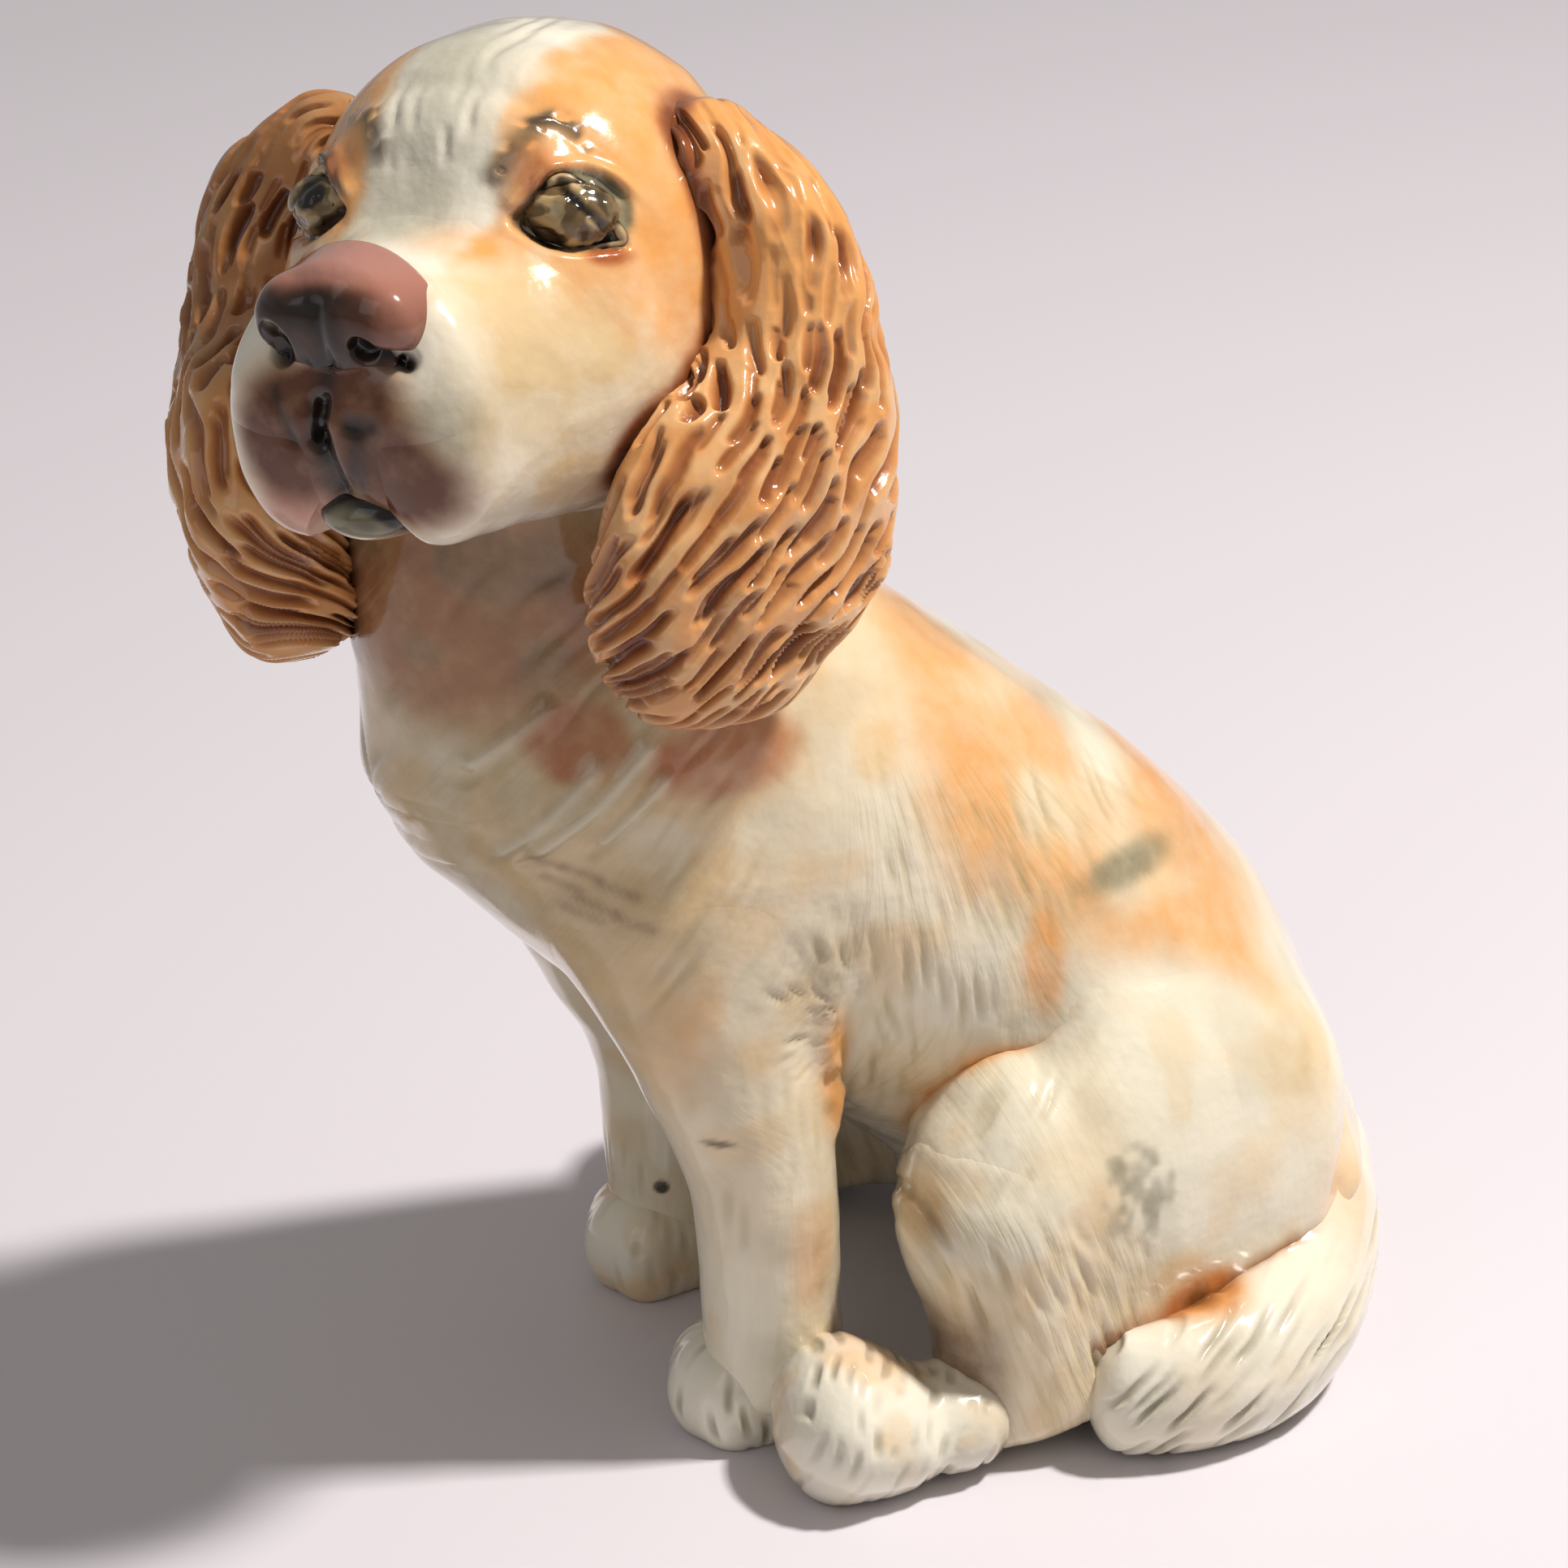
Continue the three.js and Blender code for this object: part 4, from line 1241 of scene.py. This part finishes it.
def ear_places(p, side):
    """Where the points of an ear lie on its leaf: turn, way down, way round, and the leaf's length.

    The turn is the angle round a section and the way round is measured on the skin, both from the middle
    of the outer face, with their seam on the inner face; the way down is along the spine.
    """
    sign = SIDES[side]
    columns = p.shape[1]
    spine, forward, across, over, size = limbs[f"ear_{side}"].frames(np.linspace(0, 1, 160))
    centre = p.mean(1)
    nearest = np.linalg.norm(centre[:, None] - spine, axis=2).argmin(1)
    past = ((centre - spine[nearest]) * forward[nearest]).sum(1)
    steps = np.concatenate([[0], np.cumsum(np.linalg.norm(np.diff(spine, axis=0), axis=1))])
    away = p - centre[:, None]
    wide, deep = (size[nearest, i][:, None] for i in (0, 1))
    sideways = (away * across[nearest][:, None]).sum(2)
    outward = sign * (away * over[nearest][:, None]).sum(2)
    turn = np.arctan2(sideways / wide, outward / deep)
    down = np.repeat((steps[nearest] + past)[:, None], columns, axis=1)
    half = columns // 2
    inner = half + (columns // 4 if side == "left" else 3 * columns // 4)
    q = np.roll(p, -inner, axis=1)
    arc = np.cumsum(np.linalg.norm(q - np.roll(q, 1, axis=1), axis=-1), axis=1)
    arc = -sign * np.roll(arc - arc[:, half : half + 1], inner, axis=1)
    return turn, down, arc, steps[-1]


def ear_gouges(turn, down, long):
    """The main gouges of an ear, in staggered rows down its outer face: 1 - r^2 inside an almond."""
    total = np.zeros(turn.shape)
    for row in range(GOUGE_ROWS):
        for i in range(GOUGES_IN_ROW):
            at = math.radians(GOUGE_START + GOUGE_SPREAD * (i + 0.25 + 0.5 * (row % 2)) / GOUGES_IN_ROW)
            place = long * (row + 1) / (GOUGE_ROWS + 0.6)
            r = np.hypot(GOUGE_ARC * (turn - at) / GOUGE_WIDE, (down - place) / GOUGE_LONG)
            total = np.maximum(total, 1 - r**2)
    return total


def make_ear(side):
    """An ear: its loft gouged all over with wedges that run down the leaf and forward, strands between."""
    p = settled(modelled(f"ear_{side}", joins=(("cranium", 4.0),)), EAR_SMOOTHING)
    turn, down, arc, long = ear_places(p, side)
    main = ear_gouges(turn, down, long)
    wave = 4.4 * lumpy(p, 11.0, 17) + 1.2 * lumpy(p, 4.0, 22)
    u = arc + 0.011 * (down - 30.0) * np.abs(down - 30.0) + wave
    cut = gouges(u, down, wide=3.7, long=12.0, seed=18, thin=0.3)
    cut = np.maximum(cut, 0.8 * gouges(u + 1.9, down + 4.0, wide=3.1, long=8.5, seed=19, thin=0.26))
    smooth = patchy(p, 7.0, 19, 0.46, 0.62) * ease(34, 16, down)
    carve = np.clip(cut * (1 - 0.8 * smooth), 0, 1)
    ridge = (1 - carve) ** 2 * (1 - 0.7 * smooth)
    # Rust glaze pools in the crease with the head; the brown deepest in it is painted shade.
    join = crease(p, ("cranium", "muzzle"), 3.0)
    # Brown and dark on the ear where the flews hang over it are painted shade.
    lip = crease(p, ("flew_left", "flew_right"), 2.6)
    # The right ear's upper part is darkened with brown as painted shade; the left ear is not.
    right_ear_shade = 0.0 if side == "left" else 0.35 * ease(46, 32, down)
    warm = np.clip(0.3 + 0.4 * soft_noise(p, 9.0, 20) + 0.4 * ease(30, 8, down), 0, 1)
    paint = blank(p)
    paint["carve"] = carve**1.3
    paint["tan"] = 0.5 * ridge * patchy(p, 3.0, 20, 0.3, 0.7)
    paint["orange"] = warm * (1 - 0.6 * ridge)
    paint["rust"] = np.clip(0.9 * join + 0.3 * carve, 0, 1)
    paint["brown"] = np.clip(0.55 * carve**3 + 0.75 * join**2 + 0.9 * lip + right_ear_shade, 0, 1)
    paint["dark"] = 0.35 * lip
    lumps = 1.2 * lumpy(p, 5.0, 60)
    return raised(p, 0.8 + lumps - CUT_DEEP["ear"] * carve - 0.5 * main), paint


def make_eye(side):
    """An eye: an oval ball round its line of sight, olive and mottled, with dark streaks and a pupil.

    A point is the eye's middle + radius (ring sin(b) - look cos(b)), ring being an oval across the look.
    """
    sign = SIDES[side]
    rows, columns = GRIDS["eye"]
    out, up, look = eye_axes(sign)
    b = np.linspace(POLE_GAP, math.pi - POLE_GAP, rows)[:, None, None]
    a = once_round(columns)
    ring = 1.3 * out * np.cos(a) + 0.93 * (sign * up) * np.sin(a)
    way = -look * np.cos(b) + ring * np.sin(b)
    h = eye_middle(sign) + EYE_RADIUS * way
    h = h + 0.1 * out - 0.8 * up
    across, over, _ = sight(h, sign)
    flat = np.stack([across, over], axis=-1)
    rough = lumpy(h, 1.5, 23)
    pupil = ease(2.3, 1.2, np.hypot(across, over) + 1.4 * rough) * (0.3 if side == "left" else 0.95)
    streak = strand(flat, (-0.4, 2.3), (4.2, -2.3), 0.6) + strand(flat, (-5.2, -1.4), (-0.9, -4.0), 0.75)
    streak += 0.7 * strand(flat, (2.2, -3.6), (5.0, -3.4), 0.9)
    rim = ease(0.92, 1.04, eye_share(across, over) + 0.1 * rough)
    paint = blank(h)
    paint["carve"] = patchy(h, 1.2, 21, 0.38, 0.62)
    paint["dark"] = np.clip(pupil + 0.75 * streak + 0.5 * rim, 0, 1)
    paint["tan"] = 0.5 * patchy(h, 1.6, 29, 0.5, 0.75)
    sunk = 0.16 * paint["carve"] + 0.3 * np.clip(streak, 0, 1)
    return from_head(h - way * sunk[..., None]), paint


def make_eyelid(side):
    """A lid: a thin roll of clay along the almond of the eye, lying on the face, thicker above.

    A point is the almond's + bed + roll (cos(b) sideways + 1.2 sin(b) look), b going once round the roll.
    """
    sign = SIDES[side]
    rows, columns = GRIDS["eyelid"]
    out, up, look = eye_axes(sign)
    curve = closed_curve(EYE_LINE, rows)
    along = np.gradient(np.vstack([curve[-1:], curve, curve[:1]]), axis=0)[1:-1]
    normal = unit(np.stack([along[:, 1], -along[:, 0]], axis=1))
    ring = eye_middle(sign) + curve[:, :1] * out + curve[:, 1:] * up
    lift = np.zeros(rows)
    for _ in range(10):
        lift -= 0.9 * nearest_of(FACE, from_head(ring + lift[:, None] * look))
    for _ in range(12):
        lift = (np.roll(lift, 1) + 2 * lift + np.roll(lift, -1)) / 4
    b = -sign * once_round(columns)
    above = ease(-0.5, 2.0, curve[:, 1] + 0.75 * curve[:, 0])[:, None, None]
    roll = 0.45 + 0.25 * above + 0.25 * lumpy(2.0 * ring, 2.6, 26)[:, None, None]
    sideways = (normal[:, :1] * out + normal[:, 1:] * up)[:, None, :]
    bed = (lift[:, None, None] - 0.9 + 0.5 * above) * look
    p = from_head(ring[:, None, :] + bed + roll * (np.cos(b) * sideways + 1.2 * np.sin(b) * look))
    crest = ease(0.2, 0.9, np.sin(b[..., 0]))
    light = above[..., 0] if side == "left" else np.full((rows, 1), 0.8)
    paint = blank(p)
    paint["carve"] = patchy(p, 1.5, 21, 0.4, 0.65)
    paint["tan"] = crest * (0.3 + 0.3 * light)
    paint["dark"] = np.clip(0.55 - crest * (0.45 + 0.2 * light), 0, 1)
    return p, paint


# Glazes


def linear(red, green, blue):
    """A screen colour of three numbers up to 255, as the linear colour that shaders use."""
    c = np.array([red, green, blue]) / 255.0
    c = np.where(c <= 0.04045, c / 12.92, ((c + 0.055) / 1.055) ** 2.4)
    return (*c, 1.0)


def group(name, inputs, outputs):
    """An empty shader node group with named sockets; returns its tree, input node and output node."""
    tree = bpy.data.node_groups.new(name, "ShaderNodeTree")
    for label, kind, value in inputs:
        socket = tree.interface.new_socket(label, in_out="INPUT", socket_type=kind)
        socket.default_value = value
    for label, kind in outputs:
        tree.interface.new_socket(label, in_out="OUTPUT", socket_type=kind)
    return tree, tree.nodes.new("NodeGroupInput"), tree.nodes.new("NodeGroupOutput")


def use_group(tree, shared):
    """A node that places a shared group in a tree."""
    n = tree.nodes.new("ShaderNodeGroup")
    n.node_tree = shared
    return n


def feed(tree, socket, value):
    """Give an input a number or a colour, or link it to another node's output."""
    if isinstance(value, (int, float, tuple)):
        socket.default_value = value
    else:
        tree.links.new(value, socket)


def math_node(tree, operation, *values, clamp=False):
    """A Math node fed by sockets or numbers; returns its value."""
    n = tree.nodes.new("ShaderNodeMath")
    n.operation = operation
    n.use_clamp = clamp
    for socket, value in zip(n.inputs, values):
        feed(tree, socket, value)
    return n.outputs[0]


def mix_colour(tree, factor, first, second):
    """A Mix node of two colours; returns its colour."""
    n = tree.nodes.new("ShaderNodeMix")
    n.data_type = "RGBA"
    n.clamp_factor = True
    for i, value in ((0, factor), (6, first), (7, second)):
        feed(tree, n.inputs[i], value)
    return n.outputs[2]


def noise(tree, place, scale, detail):
    """Noise at a place, its features about 1 / scale across; returns its value."""
    n = tree.nodes.new("ShaderNodeTexNoise")
    n.inputs["Scale"].default_value = scale
    n.inputs["Detail"].default_value = detail
    tree.links.new(place, n.inputs["Vector"])
    return n.outputs["Fac"]


def own_place(tree):
    """A piece's own coordinates, in metres."""
    return tree.nodes.new("ShaderNodeTexCoord").outputs["Object"]


def make_wash_group():
    """A brushed wash: the amount, broken by noise into streaks, lays one colour over another."""
    tree, given, made = group(
        "brushed_wash",
        (
            ("Colour", "NodeSocketColor", (1, 1, 1, 1)),
            ("Wash", "NodeSocketColor", (1, 0.5, 0.2, 1)),
            ("Amount", "NodeSocketFloat", 0.0),
            ("Streak", "NodeSocketFloat", 0.5),
        ),
        (("Colour", "NodeSocketColor"),),
    )
    grain = math_node(tree, "SUBTRACT", noise(tree, own_place(tree), 260.0, 4.0), 0.5)
    uneven = math_node(tree, "MULTIPLY_ADD", grain, given.outputs["Streak"], 1.0)
    spread = math_node(tree, "MULTIPLY", given.outputs["Amount"], uneven, clamp=True)
    colour = mix_colour(tree, spread, given.outputs["Colour"], given.outputs["Wash"])
    tree.links.new(colour, made.inputs["Colour"])
    return tree


def make_skin_group():
    """The glaze's own skin: slow ripples and fine pits as a height, and an uneven roughness."""
    tree, given, made = group(
        "glaze_skin",
        (("Ripple", "NodeSocketFloat", 1.0),),
        (("Height", "NodeSocketFloat"), ("Roughness", "NodeSocketFloat")),
    )
    place = own_place(tree)
    slow = math_node(tree, "MULTIPLY", noise(tree, place, 230.0, 2.0), given.outputs["Ripple"])
    height = math_node(tree, "MULTIPLY_ADD", noise(tree, place, 900.0, 3.0), 0.18, slow)
    rough = math_node(tree, "MULTIPLY_ADD", noise(tree, place, 120.0, 3.0), 0.16, 0.14)
    tree.links.new(height, made.inputs["Height"])
    tree.links.new(rough, made.inputs["Roughness"])
    return tree


def make_fur_group():
    """Brush lines along the hair: noise on the flow's own places, long one way, as a mask of streaks."""
    tree, given, made = group(
        "brushed_fur",
        (
            ("Across", "NodeSocketFloat", 0.0),
            ("Along", "NodeSocketFloat", 0.0),
            ("Amount", "NodeSocketFloat", 0.0),
        ),
        (("Streak", "NodeSocketFloat"),),
    )
    place = tree.nodes.new("ShaderNodeCombineXYZ")
    for socket, label, length in zip(place.inputs, ("Across", "Along"), (1.2, 12.0)):
        scaled = math_node(tree, "MULTIPLY", given.outputs[label], FLOW_RANGE / length)
        tree.links.new(scaled, socket)
    fine = noise(tree, place.outputs[0], 1.0, 3.0)
    lines = math_node(tree, "MULTIPLY_ADD", fine, 4.0, -1.8, clamp=True)
    tree.links.new(math_node(tree, "MULTIPLY", lines, given.outputs["Amount"]), made.inputs["Streak"])
    return tree


WASH_GROUP = make_wash_group()
FUR_GROUP = make_fur_group()
SKIN_GROUP = make_skin_group()
FIRST_WASHES = {
    "tan": linear(222, 192, 146),
    "orange": linear(224, 158, 90),
}
LAST_WASHES = {
    "green": linear(128, 122, 96),
    "pink": linear(200, 150, 132),
    "rust": linear(166, 88, 46),
    "brown": linear(98, 56, 34),
    "dark": linear(26, 20, 16),
}
FUR_SHADE = linear(184, 166, 118)
FUR_WASH = 0.55
FUR_SINK = -0.5
WASH_STREAK = 0.9


def glaze(name, base, pool, pooling):
    """A glossy glaze: a base colour, the first washes, darker glaze in the cuts and fur, the last washes."""
    material = bpy.data.materials.new(name)
    material.use_nodes = True
    tree = material.node_tree
    shader = tree.nodes["Principled BSDF"]
    shader.inputs["Coat Weight"].default_value = 1.0
    shader.inputs["Coat Roughness"].default_value = 0.1
    shader.inputs["IOR"].default_value = 1.5
    shader.inputs["Specular IOR Level"].default_value = 0.1

    def paint(label):
        """The amount of a paint, from its attribute on the points."""
        n = tree.nodes.new("ShaderNodeAttribute")
        n.attribute_name = label
        return n.outputs["Fac"]

    fur = use_group(tree, FUR_GROUP)
    for label, socket in (("flow_u", "Across"), ("flow_v", "Along"), ("fur", "Amount")):
        tree.links.new(paint(label), fur.inputs[socket])
    steps = [
        *[(wash, paint(label)) for label, wash in FIRST_WASHES.items()],
        (pool, math_node(tree, "MULTIPLY", paint("carve"), pooling, clamp=True)),
        (FUR_SHADE, math_node(tree, "MULTIPLY", fur.outputs["Streak"], FUR_WASH)),
        *[(wash, paint(label)) for label, wash in LAST_WASHES.items()],
    ]
    colour = base
    for wash, amount in steps:
        n = use_group(tree, WASH_GROUP)
        n.inputs["Streak"].default_value = WASH_STREAK
        n.inputs["Wash"].default_value = wash
        feed(tree, n.inputs["Colour"], colour)
        tree.links.new(amount, n.inputs["Amount"])
        colour = n.outputs["Colour"]
    tree.links.new(colour, shader.inputs["Base Color"])
    skin = use_group(tree, SKIN_GROUP)
    tree.links.new(skin.outputs["Roughness"], shader.inputs["Roughness"])
    bump = tree.nodes.new("ShaderNodeBump")
    bump.inputs["Strength"].default_value = 0.35
    bump.inputs["Distance"].default_value = 0.0008
    height = math_node(tree, "MULTIPLY_ADD", fur.outputs["Streak"], FUR_SINK, skin.outputs["Height"])
    tree.links.new(height, bump.inputs["Height"])
    tree.links.new(bump.outputs["Normal"], shader.inputs["Normal"])
    return material


# Each glaze's base colour, the colour that pools in its cuts, and how much pools
CLAY_WHITE = linear(230, 224, 206)
CLAY_CREAM = linear(227, 219, 196)
GREY_GREEN = linear(140, 132, 104)
RECIPES = {
    "cream_glaze": (CLAY_CREAM, linear(176, 156, 112), 0.8),
    "white_glaze": (CLAY_WHITE, GREY_GREEN, 0.85),
    "orange_glaze": (CLAY_WHITE, GREY_GREEN, 1.0),
    "russet_glaze": (linear(206, 146, 90), linear(122, 64, 34), 1.15),
    "pink_glaze": (linear(164, 116, 103), linear(70, 40, 36), 1.0),
    "green_glaze": (linear(196, 176, 150), linear(90, 84, 66), 1.0),
    "dark_glaze": (linear(172, 148, 104), linear(112, 90, 58), 1.0),
    "olive_glaze": (linear(120, 102, 70), linear(48, 36, 24), 1.0),
}
glazes = {name: glaze(name, *recipe) for name, recipe in RECIPES.items()}


# Meshes

eye_low, eye_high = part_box("eye_left")
OFFSET = 1000.0 * np.array((eye_low + eye_high) / 2) - from_head(EYE)


def add_piece(name, p, paint, slot, ring=False):
    """A grid as a closed mesh in its glaze, in place of the solid of its name.

    Four neighbours of the grid make a face. A ring closes both ways; other grids close round the columns,
    with a fan of triangles to one point at each end.
    """
    rows, columns = p.shape[:2]
    index = np.arange(rows * columns).reshape(rows, columns)
    right = np.roll(index, -1, axis=1)
    if ring:
        ahead, ahead_right = np.roll(index, -1, axis=0), np.roll(right, -1, axis=0)
        quads = np.stack([index, right, ahead_right, ahead], axis=-1).reshape(-1, 4).tolist()
        points = p.reshape(-1, 3)
        fans = []
    else:
        quads = np.stack([index[:-1], right[:-1], right[1:], index[1:]], axis=-1).reshape(-1, 4).tolist()
        points = np.vstack([p.reshape(-1, 3), p[0].mean(0), p[-1].mean(0)])
        start, stop = rows * columns, rows * columns + 1
        fans = np.stack([np.full(columns, start), right[0], index[0]], axis=-1).tolist()
        fans += np.stack([np.full(columns, stop), index[-1], right[-1]], axis=-1).tolist()
    mesh = bpy.data.meshes.new(name)
    mesh.from_pydata(((points + OFFSET) * MM).tolist(), [], quads + fans)
    mesh.polygons.foreach_set("use_smooth", np.ones(len(mesh.polygons), bool))
    for label, values in paint.items():
        flat = np.clip(values, 0, 1).ravel()
        if label in STRONG:
            flat = 1 - (1 - flat) ** STRENGTH
        if not ring:
            flat = np.concatenate([flat, [values[0].mean(), values[-1].mean()]])
        layer = mesh.attributes.new(label, "FLOAT", "POINT")
        layer.data.foreach_set("value", flat.astype(np.float32))
    mesh.materials.append(glazes[slot])
    mesh.update()
    piece = bpy.data.objects.new(f"glazed_{name}", mesh)
    bpy.context.scene.collection.objects.link(piece)
    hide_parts(name)
    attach(piece, "root")


MIDDLE_PIECES = (
    ("torso", make_torso, "cream_glaze"),
    ("neck", make_neck, "cream_glaze"),
    ("cranium", make_cranium, "orange_glaze"),
    ("muzzle", make_muzzle, "white_glaze"),
    ("nose", make_nose, "pink_glaze"),
    ("chin", make_chin, "green_glaze"),
    ("tail", make_tail, "white_glaze"),
)
PAIRED_PIECES = (
    ("flew", make_flew, "white_glaze"),
    ("ear", make_ear, "russet_glaze"),
    ("eye", make_eye, "dark_glaze"),
    ("eyelid", make_eyelid, "olive_glaze"),
    ("foreleg", make_foreleg, "cream_glaze"),
    ("forepaw", make_forepaw, "white_glaze"),
    ("haunch", make_haunch, "cream_glaze"),
    ("hock", make_hock, "cream_glaze"),
    ("hind_foot", make_hind_foot, "white_glaze"),
)
for name, make, slot in MIDDLE_PIECES:
    add_piece(name, *make(), slot)
for side in SIDES:
    for name, make, slot in PAIRED_PIECES:
        add_piece(f"{name}_{side}", *make(side), slot, ring=name == "eyelid")


# Floor, light and camera, in metres and degrees

AIM = Vector(((np.array([-4.5, 0.0, 79.0]) + OFFSET) * MM).tolist())
CAMERA_TURN = 68.0
CAMERA_RISE = 25.0
CAMERA_AWAY = 0.7
LENS = 123.4
SENSOR = 36.0
FLOOR_HALF = 6.0


def direction(turn, rise):
    """The way from the dog to a place at a turn about it, 0 in front and 90 on its left, and a rise."""
    a, e = math.radians(turn), math.radians(rise)
    return Vector((math.sin(a) * math.cos(e), -math.cos(a) * math.cos(e), math.sin(e)))


def aimed(thing, turn, rise, away):
    """Put a camera or lamp at a place round the dog, its -Z aimed at it."""
    way = direction(turn, rise)
    thing.location = AIM + way * away
    thing.rotation_euler = (-way).to_track_quat("-Z", "Y").to_euler()
    bpy.context.scene.collection.objects.link(thing)


def add_camera():
    """The camera at the photograph's viewing angle."""
    camera = bpy.data.objects.new("camera", bpy.data.cameras.new("camera"))
    camera.data.lens = LENS
    camera.data.sensor_width = SENSOR
    camera.data.clip_start = 0.05
    aimed(camera, CAMERA_TURN, CAMERA_RISE, CAMERA_AWAY)
    bpy.context.scene.camera = camera


def add_lamp(name, turn, rise, away, size, power, colour):
    """A square soft box aimed at the dog."""
    lamp = bpy.data.objects.new(name, bpy.data.lights.new(name, "AREA"))
    lamp.data.size = size
    lamp.data.energy = power
    lamp.data.color = colour
    aimed(lamp, turn, rise, away)


def add_floor():
    """A plain pale floor, which isn't part of the dog."""
    mesh = bpy.data.meshes.new("floor")
    corners = [(x * FLOOR_HALF, y * FLOOR_HALF, 0) for x, y in ((-1, -1), (1, -1), (1, 1), (-1, 1))]
    mesh.from_pydata(corners, [], [(0, 1, 2, 3)])
    floor = bpy.data.objects.new("floor", mesh)
    material = bpy.data.materials.new("pale_floor")
    material.use_nodes = True
    shader = material.node_tree.nodes["Principled BSDF"]
    shader.inputs["Base Color"].default_value = linear(216, 211, 217)
    shader.inputs["Roughness"].default_value = 0.55
    mesh.materials.append(material)
    bpy.context.scene.collection.objects.link(floor)


def add_sky():
    """Even, slightly warm light from all round."""
    world = bpy.data.worlds.new("studio")
    world.use_nodes = True
    background = world.node_tree.nodes["Background"]
    background.inputs["Color"].default_value = (1.0, 0.97, 0.93, 1.0)
    background.inputs["Strength"].default_value = 0.27
    bpy.context.scene.world = world


add_camera()
add_lamp("key", turn=154.0, rise=60.0, away=1.1, size=0.1, power=15.6, colour=(1.0, 0.96, 0.92))
add_lamp("fill", turn=35.0, rise=35.0, away=1.4, size=0.9, power=1.6, colour=(0.98, 0.98, 1.0))
add_floor()
add_sky()
bpy.context.scene.view_settings.view_transform = "Standard"
